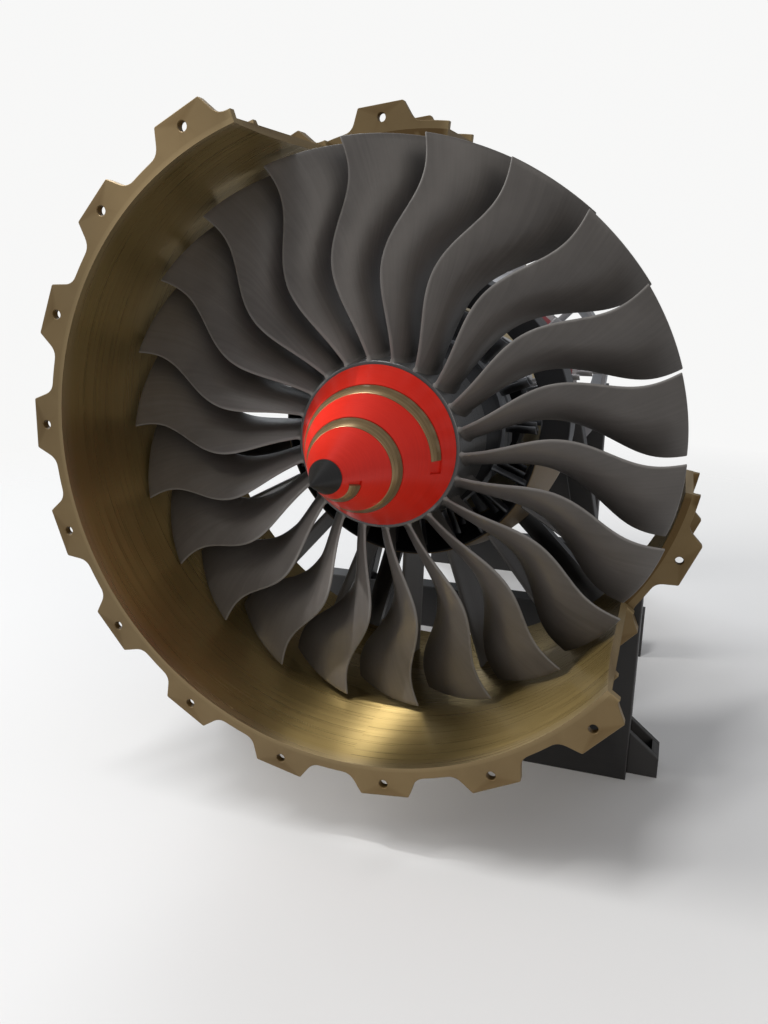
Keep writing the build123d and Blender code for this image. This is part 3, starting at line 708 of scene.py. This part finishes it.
def blade_points():
    """(station, radius, azimuth, edge weight) up one blade, with a fillet at its root and a rounded tip."""
    levels = [(r, 0.0) for r in (29.0, 30.2, 31.0, 31.8, 32.6, 33.5, 34.5, 36.0, 38.0)]
    levels += [(38.0 + (TIP_R - 0.35 - 38.0) * k / 40, 0.0) for k in range(1, 41)]
    levels += [(TIP_R - 0.08, 0.12), (TIP_R, 0.35)]
    out = []
    for radius, shrink in levels:
        points, middle, half = blade_section(radius)
        for k, (station, side, weight) in enumerate(points):
            clear = radius - taper(station, *HUB_FRONT, *HUB_REAR)
            depth = min(max(ROOT_FILLET - clear, 0.0), ROOT_FILLET)
            flare = min(ROOT_FILLET - sqrt(ROOT_FILLET**2 - depth**2), FLARE_LIMIT)
            last, following = points[k - 1], points[(k + 1) % len(points)]
            normal = Vector((last[1] - following[1], following[0] - last[0])).normalized()
            s = station + normal.x * (flare - shrink)
            u = side + normal.y * (flare - shrink)
            azimuth = middle + degrees(atan2(u, radius * cos(half)))
            # the tip's rows get part of the painted highlight too
            out.append((s, radius, azimuth, max(weight, 0.75 if shrink else 0.0)))
    return out, len(levels), len(points)


def blade_faces(rows, n):
    """The blade's sides, its root face inside the hub, and strips between its two sides at the tip."""
    faces = row_faces(rows, n) + [tuple(range(n))]
    top = (rows - 1) * n
    for k in range(n // 2):
        quad = (top + k, top + k + 1, top + n - k - 1, top + (n - k) % n)
        distinct = tuple(dict.fromkeys(quad))
        if len(distinct) > 2:
            faces.append(distinct)
    return faces


def build_fan():
    points, rows, n = blade_points()
    faces = blade_faces(rows, n)
    parts = []
    for blade in range(BLADES):
        turn = 360.0 / BLADES * blade
        parts.append(([place(s, r, azimuth + turn) for s, r, azimuth, _ in points], faces))
    outline = [(HUB_FRONT[0], HUB_BORE_R), HUB_FRONT, HUB_REAR, (HUB_REAR[0], HUB_BORE_R)]
    hub = revolve(outline, [0.3, 0.8, 0.5, 0.3], step=2.5)
    obj = make_object("fan_blades_and_hub", *parts, hub, angle=50.0)
    highlight_weights = [weight for *_, weight in points] * BLADES + [0.0] * len(hub[0])
    layer = obj.data.attributes.new("edge", "FLOAT", "POINT")
    layer.data.foreach_set("value", highlight_weights)
    return obj, BLADES * len(faces)


fan, blade_face_count = build_fan()
dress(fan, "blade", "low_pressure_spool", "blade_grey", "fan_rotor")
paint(fan, "hub", lambda poly, x, z: poly.index >= blade_face_count)


# Spinner: red cone with a sunk bronze spiral, and a black tip

APEX, TIP_STATION, BASE_STATION, BASE_R = -26.5, -15.0, 33.0, 29.4
SLOPE = BASE_R / (BASE_STATION - APEX)
GROOVE_TURNS, GROOVE_DEPTH = 2.0, 0.9


def cone_r(station):
    return SLOPE * (station - APEX)


def below_cone(station, depth, azimuth):
    """Place at a depth square to the cone's surface."""
    step = depth / sqrt(1 + SLOPE**2)
    return place(station + SLOPE * step, cone_r(station) - step, azimuth)


def build_spinner():
    """Cone surface on a grid that follows the spiral, so that the groove has crisp edges."""
    sliver = 0.0006
    fractions = [0.0, sliver] + [k / 240 for k in range(1, 240)] + [1 - sliver, 1.0]
    half, chamfer = STRIPE_WIDTH / 2, 0.12
    first, last, back_station = TIP_STATION + 0.05, BASE_STATION - 0.4, BASE_STATION - 0.05
    verts, faces = [], []
    for fraction in fractions:
        column = [(first, 0.0)]
        # the groove's edges that cross this meridian, from the tip back
        for turns in (-1 + fraction, fraction, 1 + fraction, 2 + fraction):
            centre = STRIPE_START + STRIPE_PITCH * turns
            depth = GROOVE_DEPTH if -1e-6 <= turns <= GROOVE_TURNS + 1e-6 else 0.0
            for reach, down in ((-half - chamfer, 0.0), (-half, depth), (half, depth), (half + chamfer, 0.0)):
                column.append((min(max(centre + reach, first), last), down))
        column.append((last, 0.0))
        verts += [below_cone(s, down, SPIRAL_AZIMUTH + 360.0 * fraction) for s, down in column]
    rows = len(column)
    starts = [k * rows for k in range(len(fractions) - 1)]
    for a in starts:
        faces += [(a + i, a + i + 1, a + rows + i + 1, a + rows + i) for i in range(rows - 1)]
    # base rounding, back face and front face
    rim = len(verts)
    verts += [place(back_station, BASE_R - 0.35, SPIRAL_AZIMUTH + 360.0 * fraction) for fraction in fractions]
    back, front = len(verts), len(verts) + 1
    verts += [place(back_station, 0.0, 0.0), place(first, 0.0, 0.0)]
    faces += [(a + rows - 1, rim + k, rim + k + 1, a + 2 * rows - 1) for k, a in enumerate(starts)]
    for k, a in enumerate(starts):
        faces += [(rim + k, back, rim + k + 1), (a, a + rows, front)]
    return make_object("spinner_cone", (verts, faces), angle=30.0, welded=True)


def build_stripe():
    """Bronze ribbon lying in the spiral groove, a little below the red surface."""
    steps = round(STRIPE_TURNS * 200)
    half, gap = STRIPE_WIDTH / 2 - 0.16, 0.03
    top, foot = 0.04, 0.95
    section = [(-half, foot), (-half, 0.14), (-half + 0.15, top), (half - 0.15, top), (half, 0.14),
               (half, foot)]
    verts = []
    for k in range(steps + 1):
        turns = gap + (STRIPE_TURNS - gap) * k / steps
        centre = STRIPE_START + STRIPE_PITCH * turns
        verts += [below_cone(centre + ds, down, SPIRAL_AZIMUTH + 360.0 * turns) for ds, down in section]
    return make_object("spiral_ribbon", (verts, closed_rows(steps + 1, len(section))), angle=40.0)


dress(build_spinner(), "red", "low_pressure_spool", "spinner_red", "spinner")
dress(build_stripe(), "stripe", "low_pressure_spool", "stripe_gold", "spinner_stripe")
tip_r = cone_r(TIP_STATION)
tip_outline = [(APEX, 0.0), (APEX + 0.15, 0.35), (TIP_STATION - 0.3, tip_r - 0.1), (TIP_STATION, tip_r - 0.3),
               (TIP_STATION, 0.0)]
tip = make_object("black_cone_tip", revolve(tip_outline, step=3.0), welded=True)
dress(tip, "tip", "low_pressure_spool", "tip_black", "spinner_tip")


# Blades and vanes of the core, cambered plates


def plate_row(station, azimuths, chord, thickness, stagger, root, tip, camber=0.08, rows=5):
    """Ring of cambered vanes; root and tip are radii at the leading and the trailing edge."""
    turn = radians(stagger)
    nose, tail, last = 0.09, 0.6, 8 - 1
    xs = [0.0, 0.03, nose] + [nose + 0.86 * k / last for k in range(1, last + 1)] + [1.0]

    def half(x):
        front = sqrt(min(1.0, x / nose)) if x < nose else 1.0
        back = 1.0 if x < tail else 1.0 - 0.7 * ((x - tail) / (1 - tail)) ** 1.5
        return thickness / 2 * (0.15 + 0.85 * front) * back

    bow = camber * chord
    loop = [(x, 4 * bow * x * (1 - x) - bow * 0.5 + half(x)) for x in xs]
    loop += [(x, 4 * bow * x * (1 - x) - bow * 0.5 - half(x)) for x in reversed(xs)]
    faces = closed_rows(rows, len(loop))
    parts = []
    for azimuth in azimuths:
        ca, sa = cos(radians(azimuth)), sin(radians(azimuth))
        verts = []
        for share in [row / (rows - 1) for row in range(rows)]:
            for x, y in loop:
                low, high = between(x, *root), between(x, *tip)
                radial = between(share, low, high)
                dx = (x - 0.5) * chord
                s, u = station + dx * cos(turn) - y * sin(turn), dx * sin(turn) + y * cos(turn)
                px, pz = radial * sa + u * ca, radial * ca - u * sa
                verts.append((px * MM, (s - ORIGIN_STATION) * MM, (AXIS_Z + pz) * MM))
        parts.append((verts, faces))
    return merge(*parts)


def evenly(count):
    return [(k + 0.5) * 360.0 / count for k in range(count)]


def in_sector(azimuths, start, end):
    """Keeps the azimuths that lie inside a sector."""
    return [az for az in azimuths if start <= az <= end or start <= az + 360 <= end]


# Cones of the core: front station and radius, rear station and radius
BOOSTER_DUCT, BOOSTER_SKIN = (69.6, 51.4, 100.0, 48.0), (69.6, 52.4, 100.0, 60.0)
COMPRESSOR_DUCT, TURBINE_DUCT = (118.0, 47.0, 188.0, 35.0), (226.0, 41.0, 284.0, 56.0)

# Booster case with its inlet vanes; its inner face, ends and vanes get the near-black painted shade of the
# core, its outer skin and cut faces are bronze
booster_outline = [BOOSTER_DUCT[:2], BOOSTER_SKIN[:2], BOOSTER_SKIN[2:], BOOSTER_DUCT[2:]]
shell = revolve(booster_outline, 0.3, REAR_CUT, 1.5)
shell_faces = len(shell[1])
vanes = plate_row(74.0, in_sector(evenly(24), *REAR_CUT), 6.0, 1.2, 0.0, (36.8, 36.8), (51.8, 51.4), 0.06)
booster = make_object("booster_shell_and_vanes", shell, vanes)
dress(booster, "dark", "engine", "case_bronze", "booster_case")
paint(booster, "vane", lambda poly, x, z: poly.index < shell_faces
      and (outward(poly, x, z) > 0 or len(poly.vertices) > 4))


def platforms(stations, count, root, duct):
    """Flat-sided platforms and their blades for each row of a rotor, between two cones."""
    chord, thickness, stagger, camber = 6.0, 1.2, 35.0, 0.1
    # rings of corners: outer and inner at the front, then at the rear
    o0, i0, o1, i1 = 0, count, 2 * count, 3 * count
    faces = []
    for k in range(count):
        j = (k + 1) % count
        faces += [(o0 + k, o0 + j, o1 + j, o1 + k), (i0 + k, i1 + k, i1 + j, i0 + j),
                  (o0 + k, i0 + k, i0 + j, o0 + j), (o1 + k, o1 + j, i1 + j, i1 + k)]
    parts = []
    for station in stations:
        edges = (station - chord / 2, station + chord / 2)
        flat = max(taper(e, *root) for e in edges) / cos(pi / count) + 0.4
        tip_r = min(taper(e, *duct) for e in edges) - 0.8
        rings = [(s, r) for s in edges for r in (flat / cos(pi / count), flat - 2.5)]
        parts.append(([place(s, r, azimuth) for s, r in rings for azimuth in evenly(count)], faces))
        azimuths = [k * 360 / count for k in range(count)]
        parts.append(plate_row(station, azimuths, chord, thickness, stagger, (flat - 1, flat - 1),
                               (tip_r, tip_r), camber))
    return merge(*parts)


def rotor_piece(name, outline, rows, round_r):
    """Drum with its blade rows, and the count of the drum's faces, which come first."""
    drum = revolve(outline, round_r, step=3.0)
    return make_object(name, drum, rows), len(drum[1])


drum_outline = [(60.05, 30.5), (60.05, 33.0), (74.0, 36.0), (97.0, 36.0), (97.0, 33.5), (74.0, 33.5)]
booster_rows = platforms((82.0, 92.0), 16, (74.0, 36.0, 97.0, 36.0), BOOSTER_DUCT)
booster_rotor, _ = rotor_piece("booster_drum_and_blades", drum_outline, booster_rows, 0.4)
# drum and blades in the near-black painted shade of the core
dress(booster_rotor, "dark", "low_pressure_spool", "rotor_silver", "booster_rotor")

# Bypass guide vanes, which end inside the case's bore
BORE_REACH = BORE_R - 0.05
VANE_STATION, VANE_CHORD, VANE_STAGGER = 87.0, 19.2, -12.0
reach = VANE_CHORD / 2 * cos(radians(VANE_STAGGER))
swing = VANE_CHORD / 2 * abs(sin(radians(VANE_STAGGER))) + 1.6
vane_tip = sqrt(BORE_REACH**2 - swing**2)
vane_root = [taper(VANE_STATION + side * reach, *BOOSTER_SKIN) + SEAM for side in (-1, 1)]
vane_azimuths = [121.9 + 20.0 * k for k in range(13)]
guide_row = plate_row(VANE_STATION, vane_azimuths, VANE_CHORD, 1.6, VANE_STAGGER, vane_root,
                      (vane_tip, vane_tip), 0.03, 7)
# a darker grey than the blades: painted shade
guide = make_object("bypass_vanes", guide_row)
dress(guide, "vane_painted_shade_grey", "engine", "vane_dark", "guide_vanes")

# Fan frame: ring, hub, outer struts and inner spokes
ring = revolve([(100.05, 48.0), (100.05, 60.0), (118.0, 60.0), (118.0, 48.0)], 0.5)
ring_faces = len(ring[1])
frame_hub = [(84.0, 9.4), (84.0, 11.9), (100.0, 17.0), (118.0, 17.0), (118.0, 10.4), (112.0, 10.4),
             (112.0, 9.4)]
hub = revolve(frame_hub, 0.3, step=4.0)
STRUT_CHORD, STRUT_THICKNESS = 9.5, 8.0
strut_tip = sqrt(BORE_REACH**2 - (STRUT_THICKNESS / 2) ** 2)
strut_azimuths = [135.5 + 60.0 * k for k in range(4)]
struts = plate_row(CASE_END - STRUT_CHORD / 2, strut_azimuths, STRUT_CHORD, STRUT_THICKNESS, 0.0,
                   (59.0, 59.0), (strut_tip, strut_tip), 0.0)
spokes = plate_row(109.0, evenly(6), 9.5, 4.0, 0.0, (16.0, 16.0), (49.0, 49.0), 0.0, 3)
fan_frame = make_object("frame_ring_and_struts", ring, hub, struts, spokes)
dress(fan_frame, "vane", "engine", "case_bronze", "fan_frame")
# all but the ring gets the near-black painted shade, and so does the ring where the cases are cut open
paint(fan_frame, "dark", lambda poly, x, z: poly.index >= ring_faces
      or REAR_CUT[1] - 360 < degrees(atan2(x, z)) < REAR_CUT[0])


# Core casings, with another colour inside and on their cut faces


def inside_or_cut(poly, x, z):
    return outward(poly, x, z) < -0.5 or len(poly.vertices) > 4


casings = (
    ("compressor_shell", "compressor_case", "cream",
     [(118.05, 47.0), (118.05, 54.5), (120.55, 54.5), (120.55, 49.08), (185.5, 37.94), (185.5, 42.5),
      (188.0, 42.5), (188.0, 35.0)]),
    ("combustor_shell", "combustor_case", "maroon",
     [(188.05, 35.0), (188.05, 37.5), (207.0, 45.5), (223.5, 43.85), (223.5, 48.5), (226.0, 48.5),
      (226.0, 41.0), (207.0, 43.0)]),
    ("turbine_shell", "turbine_case", "cream",
     [(226.05, 41.0), (226.05, 43.5), (281.5, 57.85), (281.5, 63.5), (284.0, 63.5), (284.0, 56.0)]),
)
for name, node, inside, outline in casings:
    shell = make_object(name, revolve(outline, 0.3, REAR_CUT))
    dress(shell, "silver", "engine", "casing_silver", node)
    paint(shell, inside, inside_or_cut)

liner_outline = [(194.0, 18.0), (194.0, 33.0), (223.5, 33.0), (223.5, 40.95), (226.0, 40.95), (226.0, 31.5),
                 (195.5, 31.5), (195.5, 19.5), (226.0, 19.5), (226.0, 18.0)]
liner = make_object("flame_tube", revolve(liner_outline, 0.5))
dress(liner, "cream", "engine", "liner_cream", "combustor_liner")

# Name, front and rear of the drum, its bore, stations of its blade rows, blades in a row, duct, body, node,
# colour of the drum and record slot
# the compressor drum's near-black is the core's painted shade
rotors = (
    ("compressor_drum_and_blades", (122.0, 37.0), (184.0, 30.0), 8.05, (129.0, 148.0, 167.0), 14,
     COMPRESSOR_DUCT, "high_pressure_spool", "compressor_rotor", "dark", "rotor_red"),
    ("pressure_turbine_disc_and_blades", (230.0, 33.0), (240.0, 33.0), 8.05, (235.0,), 16,
     TURBINE_DUCT, "high_pressure_spool", "front_turbine_rotor", "maroon", "rotor_red"),
    ("rear_turbine_drum_and_blades", (246.0, 35.0), (280.0, 42.0), 5.05, (252.0, 272.0), 16,
     TURBINE_DUCT, "low_pressure_spool", "rear_turbine_rotor", "maroon", "rotor_silver"),
)
for name, front, rear, bore_r, stations, count, duct, body, node, drum_colour, slot in rotors:
    blade_rows = platforms(stations, count, front + rear, duct)
    outline = [(front[0], bore_r), front, rear, (rear[0], bore_r)]
    piece, drum_faces = rotor_piece(name, outline, blade_rows, 0.6)
    dress(piece, "silver", body, slot, node)
    paint(piece, drum_colour, lambda poly, x, z: poly.index < drum_faces)

# Exhaust frame, nozzle and plug
ring = revolve([(284.05, 56.0), (284.05, 58.5), (297.0, 58.5), (297.0, 56.0)], 0.3)
hub = revolve([(284.05, 9.4), (284.05, 28.0), (297.0, 28.0), (297.0, 9.4)], 0.5, step=3.0)
struts = plate_row(290.5, evenly(6), 9.0, 3.0, 0.0, (27.0, 27.0), (57.0, 57.0), 0.0, 4)
exhaust = make_object("exhaust_ring_and_struts", ring, hub, struts)
dress(exhaust, "silver", "engine", "casing_silver", "exhaust_frame")
nozzle_outline = [(297.05, 56.5), (297.05, 58.5), (328.0, 49.0), (328.0, 47.0)]
nozzle = make_object("exhaust_cone_ring", revolve(nozzle_outline, 0.35))
dress(nozzle, "silver", "engine", "casing_silver", "core_nozzle")
plug_outline = [(297.05, 0.0), (297.05, 28.0), (341.0, 5.0), (341.0, 0.0)]
plug = make_object("exhaust_plug_cone", revolve(plug_outline, [0.0, 0.4, 1.2, 0.0]), welded=True)
dress(plug, "plug", "engine", "plug_dark", "exhaust_plug")

# Shafts and bearings keep their CAD form, with a material of their own
for node in ("inner_shaft", "outer_shaft", "front_bearing", "middle_bearing", "rear_bearing"):
    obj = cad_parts[node]
    if not obj.material_slots:
        obj.data.materials.append(mats["steel"])
    for holder in obj.material_slots:
        holder.material = mats["steel"]


# Stand

BEAM, HALF_WIDTH, POST_WIDTH, FOOT_WIDTH = 25.5, 95.0, 12.0, 12.5
SADDLE_DROP, FRAME_DEPTH = 12.0, 12.0
# Two places on the nozzle's outer cone
NOZZLE_SKIN = (297.0, 58.5, 328.0, 49.0)


def arc(r, a0, a1, n):
    """Points on an arc round the axis; angles are anticlockwise from +x."""
    angles = [radians(a0 + (a1 - a0) * k / n) for k in range(n + 1)]
    return [(r * cos(a), AXIS_Z + r * sin(a)) for a in angles]


def mirrored(outline):
    return [(-x, y) for x, y in outline][::-1]


def front_stand():
    """Beam, two posts and a deep saddle under the rear fan case, with a ribbed foot on each side."""
    saddle = SKIN_R + 0.1
    band = saddle + POST_WIDTH
    top = -sqrt(saddle**2 - HALF_WIDTH**2)
    a_end = degrees(atan2(top, HALF_WIDTH))
    cradle = arc(saddle, a_end, -180 - a_end, 90)
    # window on each side, between the band, the post and the beam
    inner = HALF_WIDTH - POST_WIDTH
    low_x = sqrt(band**2 - (AXIS_Z - BEAM) ** 2)
    start = degrees(atan2(BEAM - AXIS_Z, low_x)) + 0.6
    stop = degrees(atan2(-sqrt(band**2 - inner**2), inner))
    window = [(low_x + 0.4, BEAM), (inner, BEAM), *arc(band, stop, start, 24)]
    loops = [[(-HALF_WIDTH, 0.0), (HALF_WIDTH, 0.0), *cradle], window, mirrored(window)]
    parts = [fill_plate("front_stand_plate", loops, 27.2, 0.5, ORIGIN_STATION)]
    toe, foot_end = HALF_WIDTH + 9.5, HALF_WIDTH + FOOT_WIDTH
    rib = [(HALF_WIDTH, 0.0), (foot_end, 0.0), (foot_end, 9.0), (HALF_WIDTH, 19.5)]
    between_ribs = (
        [(HALF_WIDTH, 0.0), (toe + 0.1, 0.0), (toe + 0.1, 3.0), (HALF_WIDTH, 3.0)],
        [(toe, 0.0), (foot_end, 0.0), (foot_end, 9.0), (toe, 11.5)],
    )
    # the left foot, then the right one as drawn
    for side in (mirrored, list):
        for offset in (-6.0, 6.0):
            parts.append(fill_plate("rib", [side(rib)], 3.0, 0.3, ORIGIN_STATION + offset))
        parts += [fill_plate("sole", [side(outline)], 9.2, 0.2, ORIGIN_STATION) for outline in between_ribs]
    return joined("front_stand_saddle", parts)


def middle_stand():
    """Beam and two slanted legs up to a saddle round the combustor casing."""
    seat, band = 45.6, 52.6
    top = AXIS_Z - SADDLE_DROP
    leg_out, leg_in, leg_top_in = 76.0, 64.0, band - 12.0
    a_in = degrees(asin(-SADDLE_DROP / seat))
    side = [(HALF_WIDTH, 0.0), (HALF_WIDTH, BEAM), (leg_out, BEAM), (band, top)]
    outline = [(-HALF_WIDTH, 0.0), *side, *arc(seat, a_in, -180 - a_in, 48), *mirrored(side[1:])]

    def leg_x(z):
        return leg_in + (leg_top_in - leg_in) * (z - BEAM) / (top - BEAM)

    z = top
    while z > BEAM and hypot(leg_x(z), AXIS_Z - z) < band:
        z -= 0.25
    start = degrees(atan2(z - AXIS_Z, leg_x(z)))
    window = [(-leg_in, BEAM), (leg_in, BEAM), *arc(band, start, -180 - start, 36)]
    return fill_plate("middle_stand_plate", [outline, window], FRAME_DEPTH, 0.5, 210.0)


def rear_stand():
    """Upright plate with a low window; its seat follows the nozzle's cone."""
    half, seat, wide, high = 57.5, 52.0, 42.0, BEAM + 26.5
    top = AXIS_Z - SADDLE_DROP
    a_in = degrees(asin(-SADDLE_DROP / seat))
    outline = [(-half, 0.0), (half, 0.0), (half, top), *arc(seat, a_in, -180 - a_in, 60), (-half, top)]
    window = [(-wide, BEAM), (wide, BEAM), (wide, high), (-wide, high)]
    plate = fill_plate("rear_stand_plate", [outline, window], FRAME_DEPTH, 0.5, 321.0)
    for vertex in plate.data.vertices:
        x, z = vertex.co.x, vertex.co.z - AXIS_Z * MM
        radius = hypot(x, z)
        if abs(radius - seat * MM) < 0.8 * MM:
            cone = taper(vertex.co.y / MM + ORIGIN_STATION, *NOZZLE_SKIN) + 0.12
            grow = (cone * MM + radius - seat * MM) / radius
            vertex.co.x, vertex.co.z = x * grow, z * grow + AXIS_Z * MM
    return plate


dress(front_stand(), "stand", "engine", "stand_black", "stand_front_frame")
dress(middle_stand(), "stand", "engine", "stand_black", "stand_middle_frame")
dress(rear_stand(), "stand", "engine", "stand_black", "stand_rear_frame")


# Floor and world

FLOOR_HALF = 6.0
floor_mesh = bpy.data.meshes.new("floor")
floor_verts = [(x * FLOOR_HALF, y * FLOOR_HALF, 0) for x, y in ((-1, -1), (1, -1), (1, 1), (-1, 1))]
floor_mesh.from_pydata(floor_verts, [], [(0, 1, 2, 3)])
floor = link_object("floor", floor_mesh)
floor_mesh.materials.append(make_table_material())

world = bpy.data.worlds.new("studio")
bpy.context.scene.world = world
world.use_nodes = True
tree = world.node_tree
tree.nodes.clear()
out = tree.nodes.new("ShaderNodeOutputWorld")
ray = tree.nodes.new("ShaderNodeLightPath")
choose = tree.nodes.new("ShaderNodeMixShader")
tree.links.new(ray.outputs["Is Camera Ray"], choose.inputs[0])
# what lights the model, and what the camera sees behind it
for number, colour, strength in ((1, (0.92, 0.95, 1.0, 1), 0.34), (2, (0.935, 0.935, 0.93, 1), 1.0)):
    background = tree.nodes.new("ShaderNodeBackground")
    background.inputs[0].default_value = colour
    background.inputs[1].default_value = strength
    tree.links.new(background.outputs[0], choose.inputs[number])
tree.links.new(choose.outputs[0], out.inputs[0])


# Lights, in metres and watts


def add_light(name, kind, at, target, watts, **props):
    data = bpy.data.lights.new(name, kind)
    data.energy = watts
    for key, value in props.items():
        setattr(data, key, value)
    light = link_object(name, data)
    light.location = at
    light.rotation_euler = (Vector(target) - Vector(at)).to_track_quat("-Z", "Y").to_euler()


MIDDLE = (0.0, 0.0, 0.12)
areas = (
    ("key_left", (-1.35, -0.5, 0.8), MIDDLE, 14.0, (0.7, 0.7), (1.0, 0.985, 0.96)),
    ("window_behind", (-0.9, 1.1, 1.1), MIDDLE, 8.5, (0.8, 0.8), (0.9, 0.95, 1.0)),
    ("fill_right", (1.05, -1.15, 0.6), MIDDLE, 5.5, (1.0, 0.8), (1.0, 0.93, 0.84)),
    # a long narrow lamp for the streak along the bottom of the bore
    ("ceiling_strip", (-0.24, -0.42, 1.25), (0.0, -0.07, 0.04), 5.0, (0.06, 0.6), (1.0, 1.0, 1.0)),
)
for name, at, target, watts, (width, height), colour in areas:
    add_light(name, "AREA", at, target, watts, shape="RECTANGLE", size=width, size_y=height, color=colour)
# and a small spot that brightens its middle
add_light("snoot", "SPOT", (-0.44, -0.35, 1.3), (0.003, -0.052, 0.04), 120.0,
          spot_size=radians(3.6), spot_blend=1.0, shadow_soft_size=0.018)


# Camera, as the photograph was taken

camera_data = bpy.data.cameras.new("camera")
camera_data.sensor_fit = "AUTO"
camera_data.sensor_width = 36.0
camera_data.lens = 29.97
camera_data.clip_start, camera_data.clip_end = 0.01, 50.0
camera = link_object("camera", camera_data)
position = (0.09934, -0.34323, 0.20973)
yaw, pitch, roll = radians(18.86), radians(16.4), radians(0.389)
level_right = Vector((cos(yaw), sin(yaw), 0))
level_forward = Vector((-sin(yaw), cos(yaw), 0))
up = Vector((0, 0, 1))
forward = level_forward * cos(pitch) - up * sin(pitch)
above = up * cos(pitch) + level_forward * sin(pitch)
right = level_right * cos(roll) + above * sin(roll)
top = -level_right * sin(roll) + above * cos(roll)
rows = [(right[i], top[i], -forward[i], position[i]) for i in range(3)]
camera.matrix_world = Matrix((*rows, (0, 0, 0, 1)))
bpy.context.scene.camera = camera
bpy.context.scene.view_settings.view_transform = "Standard"
